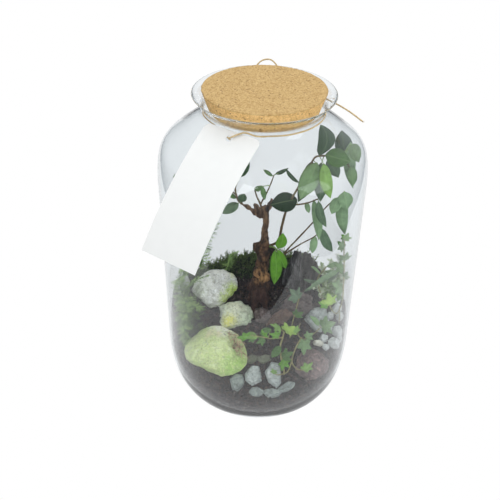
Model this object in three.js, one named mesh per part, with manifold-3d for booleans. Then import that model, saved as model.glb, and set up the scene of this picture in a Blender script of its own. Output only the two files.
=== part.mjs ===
// A planted glass terrarium: a cork-stoppered jar with soil, boulders, slate chips, moss, a small ficus,
// ivy and asparagus fern, and a blank tag on a jute thread. Millimetres, +Z up, the origin under the
// middle of the jar's foot, and the front towards -Y.
import * as THREE from 'three';
import { mergeVertices } from 'three/addons/utils/BufferGeometryUtils.js';
import { ConvexGeometry } from 'three/addons/geometries/ConvexGeometry.js';
import Module from 'manifold-3d';

const wasm = await Module();
wasm.setup();

// Driving dimensions of the jar
const JAR_R = 87.5;
const JAR_SEGMENTS = 32;
const WALL = 2.6;
const FOOT_R = 70;
const FOOT_FLOOR = 4;
const BASE_CURVE_H = 53;
const WALL_TOP = 224;
const SHOULDER_ROUND = { r: 7.8, h: 33 };
const NECK_R = 46.9;
const NECK_Z = 284.2;
const RIM_R = 57;
const RIM_Z = 297;

// Driving dimensions of what closes and labels it
const CORK = { top: 301, bottom: 284.5, topR: 49.35, bottomR: 43.9, edge: 0.9 };
const TWINE_D = 1.5;
const TAG = { width: 50, length: 108, thick: 0.6, bow: 5.4, holeR: 2.7, holeInset: 6.5, cornerR: 5, strips: 7 };

// What touches keeps this gap, and what is pressed into the soil has this much room
const GAP = 0.35;
const BLADE = 0.8;
const STALK_W = 1;
const SHORT_STALK = 1.5;

const point = ([x, y, z]) => new THREE.Vector3(x, y, z);
const mix = THREE.MathUtils.lerp;
const smooth = THREE.MathUtils.smoothstep;
const rad = THREE.MathUtils.degToRad;

// A repeatable draw from 0 to 1 for item i of the family named by seed
function draw(i, seed) {
  const x = Math.sin(i * 12.9898 + seed * 78.233) * 43758.5453;
  return x - Math.floor(x);
}

// A closed geometry as a solid: equal vertices become one, and faces are turned to point out
function solid(geometry) {
  const bare = geometry.clone();
  bare.deleteAttribute('normal');
  bare.deleteAttribute('uv');
  const merged = mergeVertices(bare, 1e-4);
  const corner = (i) => new THREE.Vector3().fromBufferAttribute(merged.attributes.position, i);
  const faces = [];
  let volume = 0;
  for (let i = 0; i < merged.index.count; i += 3) {
    const [a, b, c] = [0, 1, 2].map((k) => merged.index.getX(i + k));
    if (a === b || b === c || c === a) continue;
    faces.push([a, b, c]);
    volume += corner(a).dot(corner(b).cross(corner(c)));
  }
  const outward = volume > 0 ? faces : faces.map(([a, b, c]) => [a, c, b]);
  return new wasm.Manifold(new wasm.Mesh({
    numProp: 3,
    vertProperties: Float32Array.from(merged.attributes.position.array),
    triVerts: Uint32Array.from(outward.flat()),
  }));
}

// A solid back as a geometry
function meshOf(body) {
  const { vertProperties, triVerts } = body.getMesh();
  const geometry = new THREE.BufferGeometry();
  geometry.setAttribute('position', new THREE.BufferAttribute(Float32Array.from(vertProperties), 3));
  geometry.setIndex(new THREE.BufferAttribute(Uint32Array.from(triVerts), 1));
  return geometry;
}

// The largest body of a solid once its mesh is rounded, without the loose scraps that a cut can leave
function largest(body) {
  return solid(meshOf(body)).decompose().reduce((a, b) => (a.volume() > b.volume() ? a : b));
}

const join = (bodies) => bodies.reduce((a, b) => a.add(b));
const cut = (body, tools) => tools.reduce((a, b) => a.subtract(b), body);

// The jar's outline, from under the axis up to the lip, as [radius, height]
function outerOutline() {
  const outline = [[0, 0]];
  for (let k = 0; k <= 4; k += 1) {
    const a = rad(22.5 * k);
    outline.push([mix(FOOT_R, JAR_R, Math.sin(a)), BASE_CURVE_H * (1 - Math.cos(a))]);
  }
  for (let k = 0; k <= 3; k += 1) {
    const a = rad(25 * k);
    const centreR = JAR_R - SHOULDER_ROUND.r;
    outline.push([centreR + SHOULDER_ROUND.r * Math.cos(a), WALL_TOP + SHOULDER_ROUND.h * Math.sin(a)]);
  }
  outline.push([73, 262.6], [52, 279], [48.9, 281], [47.2, 282.6]);
  return outline;
}

function flareOutline() {
  const flare = [];
  for (let k = 0; k <= 3; k += 1) {
    flare.push([mix(NECK_R, RIM_R, (k / 3) ** 1.25), mix(NECK_Z, RIM_Z, k / 3)]);
  }
  return flare;
}

// The inner face lies one wall inside the body, and the floor is thicker
function innerOutline() {
  const outer = outerOutline();
  const inner = outer.map(([r, z], i) => {
    const [r0, z0] = outer[Math.max(i - 1, 0)];
    const [r1, z1] = outer[Math.min(i + 1, outer.length - 1)];
    const normal = new THREE.Vector2(z1 - z0, r0 - r1).normalize();
    const thick = mix(FOOT_FLOOR, WALL, smooth(z, 2, 30));
    return i < 2 ? [r, thick] : [r - normal.x * thick, z - normal.y * thick];
  });
  return inner.concat(flareOutline().map(([r, z]) => [r - WALL, z]));
}

const INNER = innerOutline();

// The inner radius at a height, along the straight stretches between the outline's points
function innerRadius(z) {
  const k = INNER.findIndex(([, high], i) => i > 1 && z <= high);
  const [[r0, z0], [r1, z1]] = [INNER[k - 1], INNER[k]];
  return mix(r0, r1, (z - z0) / (z1 - z0));
}

// A turned body: the outline runs from the axis back to the axis, and Y becomes Z
function turned(outline, segments = JAR_SEGMENTS) {
  const profile = outline.map(([r, z]) => new THREE.Vector2(r, z));
  return solid(new THREE.LatheGeometry(profile, segments).rotateX(Math.PI / 2));
}

function jar() {
  const lip = [[RIM_R - 0.5, RIM_Z + 0.9], [RIM_R - 2.1, RIM_Z + 0.9]];
  return turned([...outerOutline(), ...flareOutline(), ...lip, ...innerOutline().reverse()]);
}

function cork() {
  const { top, bottom, topR, bottomR, edge } = CORK;
  return turned([[0, bottom], [bottomR - edge, bottom], [bottomR, bottom + edge],
    [topR, top - edge], [topR - edge, top], [0, top]]);
}

// The tag's frame: the hole's place, across the card, down the card, and out of its face
const TAG_HOLE = point([-25, -48, 280.7]);
const TAG_ACROSS = point([0.839, -0.544, -0.019]).normalize();
const TAG_DOWN = point([-0.414, -0.615, -0.671]).normalize();
const TAG_OUT = TAG_DOWN.clone().cross(TAG_ACROSS).normalize();

// A card whose length bows outwards between its two ends
function tag() {
  const { width, length, thick, bow, holeR, holeInset, cornerR, strips } = TAG;
  const half = width / 2;
  const card = new THREE.Shape();
  card.moveTo(-half + cornerR, 0);
  card.lineTo(half - cornerR, 0);
  card.quadraticCurveTo(half, 0, half, cornerR);
  card.lineTo(half, length);
  card.lineTo(-half, length);
  card.lineTo(-half, cornerR);
  card.quadraticCurveTo(-half, 0, -half + cornerR, 0);
  card.holes.push(new THREE.Path().absarc(0, holeInset, holeR, 0, 2 * Math.PI, true));
  const rise = (v) => 4 * bow * (v / length) * (1 - v / length);
  const inTag = (u, v, w) => TAG_HOLE.clone()
    .addScaledVector(TAG_ACROSS, u)
    .addScaledVector(TAG_DOWN, v - holeInset)
    .addScaledVector(TAG_OUT, w);
  const sheet = new THREE.BoxGeometry(width + 2, length + 2, thick, 1, strips).translate(0, length / 2, 0);
  const outline = new THREE.ExtrudeGeometry(card, { depth: 4 * bow, bevelEnabled: false, curveSegments: 4 });
  return solid(moved(sheet, (u, v, w) => inTag(u, v, w + rise(v) - rise(holeInset))))
    .intersect(solid(moved(outline, (u, v, w) => inTag(u, v, w - 2 * bow))));
}

// A geometry with each vertex put where the rule says
function moved(geometry, place) {
  const at = geometry.attributes.position;
  for (let i = 0; i < at.count; i += 1) {
    const p = place(at.getX(i), at.getY(i), at.getZ(i));
    at.setXYZ(i, p.x, p.y, p.z);
  }
  return geometry;
}

// A branch, stem or root: a cylinder bent along the points, its radius going through the list, and
// grown all round where it makes room for another piece
function limb(points, radii, sides = 5, steps = points.length * 2, grow = 0) {
  const path = new THREE.CatmullRomCurve3(points.map(point));
  const frames = path.computeFrenetFrames(steps);
  const tube = new THREE.CylinderGeometry(1, 1, 1, sides, steps);
  return solid(moved(tube, (x, y, z) => {
    const i = Math.round((y + 0.5) * steps);
    const along = (i / steps) * (radii.length - 1);
    const k = Math.min(Math.floor(along), radii.length - 2);
    const r = mix(radii[k], radii[k + 1], along - k) + grow;
    const reach = (i === steps ? grow : 0) - (i === 0 ? grow : 0);
    return path.getPointAt(i / steps)
      .addScaledVector(frames.tangents[i], reach)
      .addScaledVector(frames.binormals[i], x * r)
      .addScaledVector(frames.normals[i], z * r);
  }));
}

// The thread: a round section swept along its route
function thread(points, steps) {
  const section = new THREE.Shape().absarc(0, 0, TWINE_D / 2, 0, 2 * Math.PI);
  const path = new THREE.CatmullRomCurve3(points.map(point));
  const options = { steps, extrudePath: path, bevelEnabled: false, curveSegments: 4 };
  return solid(new THREE.ExtrudeGeometry(section, options));
}

// The thread's route: round the neck, and at the card over its top edge, into its hole and back under it
const TIE_R = 48.6;
const TIE_Z = 283.3;
const round = (degrees) => [TIE_R * Math.cos(rad(degrees)), TIE_R * Math.sin(rad(degrees)), TIE_Z];
const RING = Array.from({ length: 13 }, (_, i) => round(-92 + 24 * i));
const THROUGH_CARD = [
  round(-88), round(-96), [-11.8, -47.4, 285.1], [-15.7, -48.6, 285.6], [-21.2, -49.6, 283.7],
  [-25, -48.4, 281.2], [-24.5, -47.2, 279.7], [-27.5, -44, 280.55], [-30.5, -40.3, 281.4],
  [-35.5, -33.2, 283.2], round(-158), round(-168),
];
const LOOP = [
  [0, 48, 283], [-7, 55, 286], [-8, 61.5, 293], [-4, 64.5, 298], [2, 65.5, 299.6],
  [7, 64.5, 298], [11, 60.5, 293], [9, 54, 286], [3, 48.5, 283.4],
];
const TAIL = [
  [5, 49.5, 284], [22, 45, 284.4], [36, 35.6, 284.6], [46, 25.6, 284.4], [53, 18.4, 283.6],
  [59.6, 11.6, 283], [68, 2, 281.6], [76.5, -10.5, 279.8],
];

function twine() {
  const knot = new THREE.IcosahedronGeometry(2.4, 1).scale(1.3, 0.9, 0.9).translate(2.6, 49.4, 283.6);
  return join([thread(RING, 28), thread(THROUGH_CARD, 24), thread(LOOP, 11), thread(TAIL, 8), solid(knot)]);
}

// The ground: low in front, banked up behind the tree, and falling again to the back wall
function ground(x, y) {
  const bank = 36 + 68 * smooth(y, -90, 44) - 30 * smooth(y, 38, 90);
  const toRight = 12 * smooth(x, 20, 84) * smooth(-y, -70, 20);
  const toLeft = 7 * smooth(-x, 30, 84);
  const ripple = 1.1 * Math.sin(x / 9 + 1) * Math.cos(y / 11) + 0.6 * Math.sin(x / 4 + y / 5);
  return bank - toRight - toLeft + ripple;
}

const SOIL_RINGS = [1, 0.84, 0.67, 0.48, 0.27];
const SOIL_LEVELS = [0.08, 0.25, 0.55];

// The soil fills the jar up to the ground. Each step round the jar has the same row of points
function soilBody() {
  const low = FOOT_FLOOR + GAP;
  const rows = 3 + SOIL_LEVELS.length + SOIL_RINGS.length;
  const profile = Array.from({ length: rows }, (_, j) => new THREE.Vector2(j, j));
  const geometry = new THREE.LatheGeometry(profile, JAR_SEGMENTS);
  const at = geometry.attributes.position;
  for (let i = 0; i <= JAR_SEGMENTS; i += 1) {
    const angle = (2 * Math.PI * (i % JAR_SEGMENTS)) / JAR_SEGMENTS;
    const [east, north] = [Math.sin(angle), -Math.cos(angle)];
    const edgeR = (z) => innerRadius(z) - GAP;
    const top = ground(84 * east, 84 * north);
    const wall = [low, ...SOIL_LEVELS.map((q) => mix(low, top, q))].map((z) => [edgeR(z), z]);
    const skin = SOIL_RINGS.map((q) => {
      const r = q * edgeR(top);
      return [r, q === 1 ? top : ground(r * east, r * north)];
    });
    [[0, low], ...wall, ...skin, [0, ground(0, 0)]].forEach(([r, z], j) => {
      at.setXYZ(i * rows + j, r * east, r * north, z);
    });
  }
  return solid(geometry);
}

// A boulder: a ball drawn out to its half sizes, with bulges towards a few directions
function boulder({ at, half, turn = [0, 0, 0], bulges = [], seed = 1, detail = 2 }, grow = 0) {
  const ball = new THREE.IcosahedronGeometry(1, detail);
  const pulls = bulges.map(([x, y, z, amount]) => [point([x, y, z]).normalize(), amount]);
  moved(ball, (x, y, z) => {
    const way = new THREE.Vector3(x, y, z).normalize();
    const bulge = pulls.reduce((sum, [to, amount]) => sum + amount * Math.max(0, way.dot(to)) ** 4, 0);
    const dent = 0.035 * Math.sin(4 * x + seed) * Math.sin(5 * y + 2 * seed) * Math.sin(4 * z + 3 * seed);
    const k = 1 + bulge + dent;
    return new THREE.Vector3(way.x * (half[0] * k + grow), way.y * (half[1] * k + grow),
      way.z * (half[2] * k + grow));
  });
  return solid(placed(ball, at, turn));
}

function placed(geometry, at, turn) {
  const euler = new THREE.Euler(...turn.map(rad));
  return geometry.applyMatrix4(new THREE.Matrix4().makeRotationFromEuler(euler)).translate(...at);
}

// A chip: a flat stone with a few sharp corners, broken thinner towards its top and bottom
function chip({ at, half, turn = [27, 0, 0], corners = 6, seed = 1 }, grow = 0) {
  const points = [];
  for (let i = 0; i < corners; i += 1) {
    const angle = (2 * Math.PI * (i + 0.55 * draw(i, seed))) / corners;
    const reach = 1 - 0.25 * draw(i + 50, seed);
    [[-1, 0.72], [-0.25, 1], [0.35, 0.97], [1, 0.7]].forEach(([z, share]) => {
      const r = reach * share;
      points.push(new THREE.Vector3(Math.cos(angle) * r * (half[0] + grow),
        Math.sin(angle) * r * (half[1] + grow), z * (half[2] + grow)));
    });
  }
  return solid(placed(new ConvexGeometry(points), at, turn));
}

const BOULDERS = [
  { name: 'boulder_lime', tone: 'lime', at: [-38.5, -47, 62], half: [27, 23.5, 18.5], turn: [14, -6, -12], seed: 1,
    bulges: [[-1, -0.3, -0.1, 0.12], [0.7, -0.2, -0.4, 0.14], [-0.3, -1, 0, -0.08]] },
  { name: 'boulder_pale', tone: 'pale', at: [-23.4, -14.2, 79.5], half: [16, 11, 13], turn: [10, 14, 14], seed: 4,
    bulges: [[1, -0.4, -0.5, 0.1], [-0.6, 0, 0.6, 0.08], [0.4, -0.6, 0.8, 0.08]] },
  { name: 'boulder_grey', tone: 'grey', at: [-43, 6, 93], half: [19, 17, 21], turn: [0, 38, 10], seed: 7,
    bulges: [[0.7, 0, 0.8, 0.14], [-0.6, -0.3, -0.8, 0.14], [0.8, -0.2, -0.5, 0.06]] },
  { name: 'boulder_small', tone: 'grey', at: [-74, 7, 95], half: [6, 7, 14], turn: [0, 8, 0], seed: 3 },
  { name: 'pebble_brown', tone: 'brown', at: [50, -44, 44], half: [16.6, 15.6, 16], turn: [0, 0, 30], seed: 5,
    bulges: [[-0.6, -0.4, 0.7, 0.05]] },
  { name: 'rock_root', tone: 'dark', at: [3, -14, 77.5], half: [8.5, 7.5, 10], turn: [20, 0, 0], seed: 6 },
  { name: 'gravel_1', tone: 'slate', at: [76, 0, 75.5], half: [6.5, 7, 6], seed: 2, detail: 1 },
  { name: 'gravel_2', tone: 'slate', at: [76, -21, 67], half: [5.2, 5.5, 5.5], seed: 3, detail: 1 },
  { name: 'gravel_3', tone: 'slate', at: [72.5, -31, 61], half: [6, 5.5, 5.5], seed: 4, detail: 1 },
  { name: 'gravel_4', tone: 'slate', at: [62.5, -26.5, 62], half: [5.5, 4.5, 4.5], seed: 5, detail: 1 },
  { name: 'gravel_5', tone: 'slate', at: [57, -33.5, 62.5], half: [7, 3.4, 3], turn: [20, 14, -10], seed: 8,
    detail: 1 },
];

const CHIPS = [
  { name: 'rock_brown', tone: 'dark', at: [36, -5, 84], half: [17, 12, 14], turn: [24, 8, 10], corners: 7, seed: 3 },
  { name: 'rock_wedge', tone: 'brown', at: [20, -20, 81], half: [9, 6, 13], turn: [20, 20, 0], corners: 5,
    seed: 9 },
  { name: 'slate_right', tone: 'slate', at: [60, -11, 73.5], half: [14, 13, 4.5], turn: [38, -6, 20], corners: 7,
    seed: 6 },
  { name: 'chip_1', tone: 'slate', at: [-17.5, -67, 42.3], half: [8, 10.5, 3.2], corners: 7, seed: 2 },
  { name: 'chip_2', tone: 'slate', at: [-3, -61, 46.4], half: [9.5, 12, 3.6], corners: 7, seed: 5 },
  { name: 'chip_3', tone: 'slate', at: [1, -75.2, 39.2], half: [8.5, 5, 2.6], corners: 6, seed: 8 },
  { name: 'chip_4', tone: 'slate', at: [15.5, -60, 47.4], half: [9, 14, 4], corners: 7, seed: 11 },
  { name: 'chip_5', tone: 'slate', at: [15.4, -76.2, 38.6], half: [7.4, 4, 2.4], turn: [24, 0, 8], corners: 6, seed: 4 },
  { name: 'chip_6', tone: 'slate', at: [28.5, -70.3, 41.6], half: [8.5, 4.6, 2.4], turn: [24, 0, 26], corners: 6,
    seed: 7 },
  { name: 'chip_7', tone: 'dark', at: [-5.5, -47.5, 52.2], half: [9, 4.6, 2], turn: [27, 0, 20], corners: 6,
    seed: 13 },
  { name: 'chip_8', tone: 'dark', at: [7, -46.5, 52.6], half: [7, 4.4, 2], turn: [27, 0, 16], corners: 6,
    seed: 15 },
];

// The bark stands on end: two slabs with a cleft between them, held together at the foot
function bark(grow = 0) {
  const slab = (corners) => {
    const middle = corners.reduce((sum, p) => sum.add(point(p)), new THREE.Vector3())
      .divideScalar(corners.length);
    const out = corners.map((p) => {
      const way = point(p).sub(middle);
      return point(p).addScaledVector(way.normalize(), grow * 1.6);
    });
    return solid(new ConvexGeometry(out));
  };
  const left = slab([[20, 10, 78], [41, 10, 76], [42, 20, 80], [21, 21, 84], [23, 12, 104], [25, 18, 106],
    [30, 12, 128], [32, 17, 132], [37.6, 13, 134], [38.4, 18, 133], [42, 10, 96], [41, 20, 98]]);
  const right = slab([[38, 9, 74], [61, 9, 72], [60, 20, 78], [39, 21, 80], [41, 10, 98], [41, 19, 100],
    [40.6, 12, 132], [41, 17, 134], [47, 12, 130], [48, 17, 131], [61, 10, 104], [60, 17, 108]]);
  return left.add(right);
}

// The ficus: a gnarled trunk with a burl, a cut head, stubs and roots, all one piece of wood
function trunk(grow = 0) {
  const wood = (points, radii, sides, steps) => limb(points, radii, sides, steps, grow);
  const knob = (at, r) => solid(new THREE.DodecahedronGeometry(r + grow).scale(1, 0.9, 1.15).translate(...at));
  return join([
    wood([[-1, 4, 70], [-1, 4, 92], [0, 5, 108], [1.5, 5, 119], [2.5, 5, 129], [4, 5, 141], [4, 5, 150],
      [3.6, 5, 160], [4.4, 5, 172], [3.4, 5, 182], [3, 5, 190]],
    [14, 12.5, 11, 9.8, 6.6, 7.6, 7.4, 4.4, 3.4, 4.4, 4], 9, 15),
    knob([-3, 2, 148.5], 4.4), knob([9, 2, 145], 4.6), knob([2, -1, 141], 4), knob([5, 0, 153], 3.6),
    knob([0, 4, 184], 4.4),
    wood([[4, 5, 184], [7, 5, 190], [9.5, 5, 196]], [3, 2.4, 2], 6, 3),
    wood([[1, 5, 184], [-3, 5, 187], [-6.5, 5, 191]], [3, 2.2, 1.7], 6, 3),
    wood([[3, 5, 180], [-3, 5, 180.5], [-10, 4, 187.5], [-15, 3.4, 190], [-19, 3, 193.5]], [3, 2.3, 1.9, 1.5, 1.2],
      6, 7),
    ...[[-13, 1, 78], [14, -4, 74], [-11, 15, 84], [12, 16, 84]].map(([x, y, z]) => (
      wood([[0, 4, 94], [x * 0.55, 4 + (y - 4) * 0.55, z + 9], [x, y, z]], [7, 5, 2.6], 6, 4))),
  ]);
}

// Half a blade's outline as [across, along], from beside the stalk to beside the tip
const OVAL = [[0.32, 0.12], [0.5, 0.45], [0.3, 0.8]];
const LOBED = [[0.43, 0.04], [0.3, 0.3], [0.56, 0.54], [0.2, 0.64]];
const STRAP = [[0.42, 0.2], [0.5, 0.5], [0.3, 0.82]];

// Leaves turn their faces towards the light, which comes from the front
const FACING = point([0, -0.81, 0.59]);

// A leaf: a stalk from its foot on the stem to the blade, and the blade to its tip, in one thin sheet.
// The blade is turned about its length, and arched and swayed between its ends, and a short stalk runs
// straight back from it through the stem
function leafSheet(half, foot, { from, to, width, turn = 0, arch = 0, sway = 0 }) {
  const right = [[STALK_W / 2 / width, -1], [STALK_W / 2 / width, 0], ...half];
  const left = right.map(([s, t]) => [-s, t]).reverse();
  const shape = new THREE.Shape([...right, [0, 1], ...left].map(([s, t]) => new THREE.Vector2(s, t)));
  const flat = new THREE.ExtrudeGeometry(shape, { depth: 1, bevelEnabled: false });
  const [base, tip] = [point(from), point(to)];
  const along = (a, b) => b.clone().sub(a).normalize();
  const near = foot.distanceTo(base) < SHORT_STALK;
  const root = near ? foot.clone().addScaledVector(along(base, tip), -SHORT_STALK * 1.2) : foot;
  const across = (way, angle) => way.clone().cross(FACING).normalize().applyAxisAngle(way, rad(angle));
  const stalk = { way: along(root, base), side: across(along(root, base), 0) };
  const lamina = { way: along(base, tip), side: across(along(base, tip), turn) };
  return solid(moved(flat, (s, t, w) => {
    const { way, side } = t < 0 ? stalk : lamina;
    const out = side.clone().cross(way);
    const bow = t < 0 ? 0 : 4 * t * (1 - t);
    const spine = t < 0 ? root.clone() : base.clone().lerp(tip, t);
    return spine
      .addScaledVector(side, s * width + sway * bow)
      .addScaledVector(out, (w - 0.5) * BLADE + arch * bow - 0.12 * width * Math.abs(s));
  }));
}

// The nearest of the stems' own points to a place
function nearest(stems, place) {
  const all = stems.flatMap(({ path }) => (
    new THREE.CatmullRomCurve3(path.map(point)).getSpacedPoints(40)));
  return all.reduce((a, b) => (a.distanceTo(place) < b.distanceTo(place) ? a : b));
}

// A leafy stem: its stems, and each leaf on a stalk from the nearest point of them
function leafy({ stems, leaves, outline = OVAL }) {
  const parts = stems.map(({ path, radii = [1, 0.7] }) => limb(path, radii, 4, path.length + 1));
  leaves.forEach((leaf) => {
    parts.push(leafSheet(leaf.outline ?? outline, nearest(stems, point(leaf.from)), leaf));
  });
  return largest(join(parts));
}

const FICUS = {
  ficus_right: {
    stems: [
      { path: [[7, 4, 147], [16, 4, 153], [19, 2, 172], [22, 0, 189], [29, 0, 208], [36, 4, 221], [43, 8, 235],
        [48, 10, 237], [60, 14, 235], [71, 18, 229]], radii: [1.3, 1.1, 1, 0.8] },
      { path: [[24, 0, 195], [30, 0, 194.5], [40, 1, 196], [49, 0, 201]], radii: [0.9, 0.6] },
      { path: [[71, 18, 229], [76, 12, 224]], radii: [0.8, 0.6] },
    ],
    leaves: [
      { from: [48, 10, 237], to: [47, 12, 265], width: 15, turn: 8, sway: 6 },
      { from: [71, 19, 230], to: [67, 28, 253], width: 15, turn: -10 },
      { from: [53, 11, 238], to: [73.5, 4, 236], width: 16, turn: 14, arch: 2 },
      { from: [42, 8, 233], to: [31, -2, 198], width: 10, turn: 30, arch: 2.5 },
      { from: [46, 6, 233], to: [33, -8, 205], width: 18, turn: -8, arch: 1.5 },
      { from: [50, 13, 229], to: [52, 9, 192], width: 14, turn: 12, arch: 1 },
      { from: [51, 3, 234], to: [58.5, -7, 208], width: 15, turn: 6, arch: 2 },
      { from: [56, 15, 232], to: [67, 17, 212], width: 11, turn: 20 },
      { from: [74, 13, 248], to: [79, -4, 240], width: 11, turn: 30, arch: 1 },
      { from: [76, 12, 227], to: [79, 6, 211], width: 10, turn: 20 },
      { from: [31, 1, 199], to: [8, -5, 197], width: 18, turn: 4, arch: 3 },
      { from: [45, 1.5, 199], to: [51, -12, 166], width: 9, turn: 24, arch: 1 },
      { from: [49, -2, 200], to: [57, -13, 181], width: 10, turn: -10, arch: 1 },
      { from: [39, 2, 196], to: [42, 0, 186], width: 7, turn: 10 },
    ],
  },
  ficus_middle: {
    stems: [
      { path: [[14, 17, 84], [16, 14, 106], [22, 3, 139], [32, 0, 157], [45, -2, 177], [58, -1, 196],
        [66, -2, 204], [71, -1, 210]], radii: [1, 0.9, 0.7, 0.6] },
      { path: [[22, 3, 139], [36, -4, 156], [47, -8, 167], [54, -7, 174]], radii: [0.8, 0.55] },
    ],
    leaves: [
      { from: [70, -2, 210], to: [74, -8, 196], width: 14, turn: -6, arch: 1 },
      { from: [72, -2, 207], to: [75, -6, 168], width: 12, turn: 14, arch: 2, sway: 3 },
      { from: [66, -3, 205], to: [60, -12, 194], width: 10, turn: 10 },
      { from: [54, -7, 175], to: [65, -12, 154], width: 11, turn: -8, arch: 1 },
      { from: [48, -8, 168], to: [46, -14, 153], width: 8, turn: 8 },
    ],
  },
  ficus_low: {
    stems: [{ path: [[8, 2, 148], [12, -4, 152], [15, -8, 152]], radii: [1.1, 0.8] }],
    leaves: [
      { from: [13, -8, 151], to: [14, -13, 115], width: 15, turn: -10, arch: 3 },
      { from: [16, -7, 151], to: [24, -6, 129], width: 9, turn: 20, arch: 2 },
      { from: [16, -6, 152], to: [20, -5, 168], width: 12, turn: 12, arch: 2 },
    ],
  },
  ficus_top: {
    stems: [
      { path: [[1, 5, 184], [-1, 5, 191], [-4, 5, 198], [-6, 5, 206]], radii: [1.1, 0.7] },
      { path: [[-1, 5, 190], [4, 6, 202], [8, 6, 213], [10, 6, 220]], radii: [0.9, 0.6] },
    ],
    leaves: [
      { from: [9, 6, 219], to: [1, 4, 226], width: 6, turn: 10 },
      { from: [11, 5.7, 221], to: [22, 2, 229], width: 6, turn: 30, arch: 1.5 },
      { from: [20, 3, 227.5], to: [32, -1, 217], width: 6, turn: 30, arch: 1.5 },
      { from: [-6, 4.6, 206], to: [0, 0, 213], width: 5, turn: 20, arch: 2 },
      { from: [0, 0.6, 212.5], to: [3, -3, 200], width: 5, turn: -10, arch: 1 },
    ],
  },
  ficus_left: {
    stems: [
      { path: [[-17, 3, 192], [-21, 4, 196], [-23, 7, 206], [-20, 9, 214]], radii: [1.1, 0.7] },
      { path: [[-22, 5, 200], [-32, 10, 206], [-38, 14, 214]], radii: [0.8, 0.6] },
    ],
    leaves: [
      { from: [-20, 2, 193], to: [-34, -5, 187], width: 9, turn: 8, arch: 1.5 },
      { from: [-18.5, 1.6, 194.5], to: [-15, 0, 204], width: 8, turn: 10 },
      { from: [-22, 4.6, 197], to: [-29, 1, 204], width: 5, turn: 30 },
      { from: [-19.5, 9, 215.5], to: [-12, 9, 233], width: 9, turn: 10, arch: 1 },
      { from: [-31, 10, 206], to: [-43, 2, 199], width: 12, turn: 0, arch: 2 },
      { from: [-34, 11, 209], to: [-38, 24, 222], width: 12, turn: -14, arch: 2 },
      { from: [-39.5, 13.8, 214.4], to: [-54, 10, 216], width: 13, turn: 6, arch: 2 },
    ],
  },
};

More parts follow.
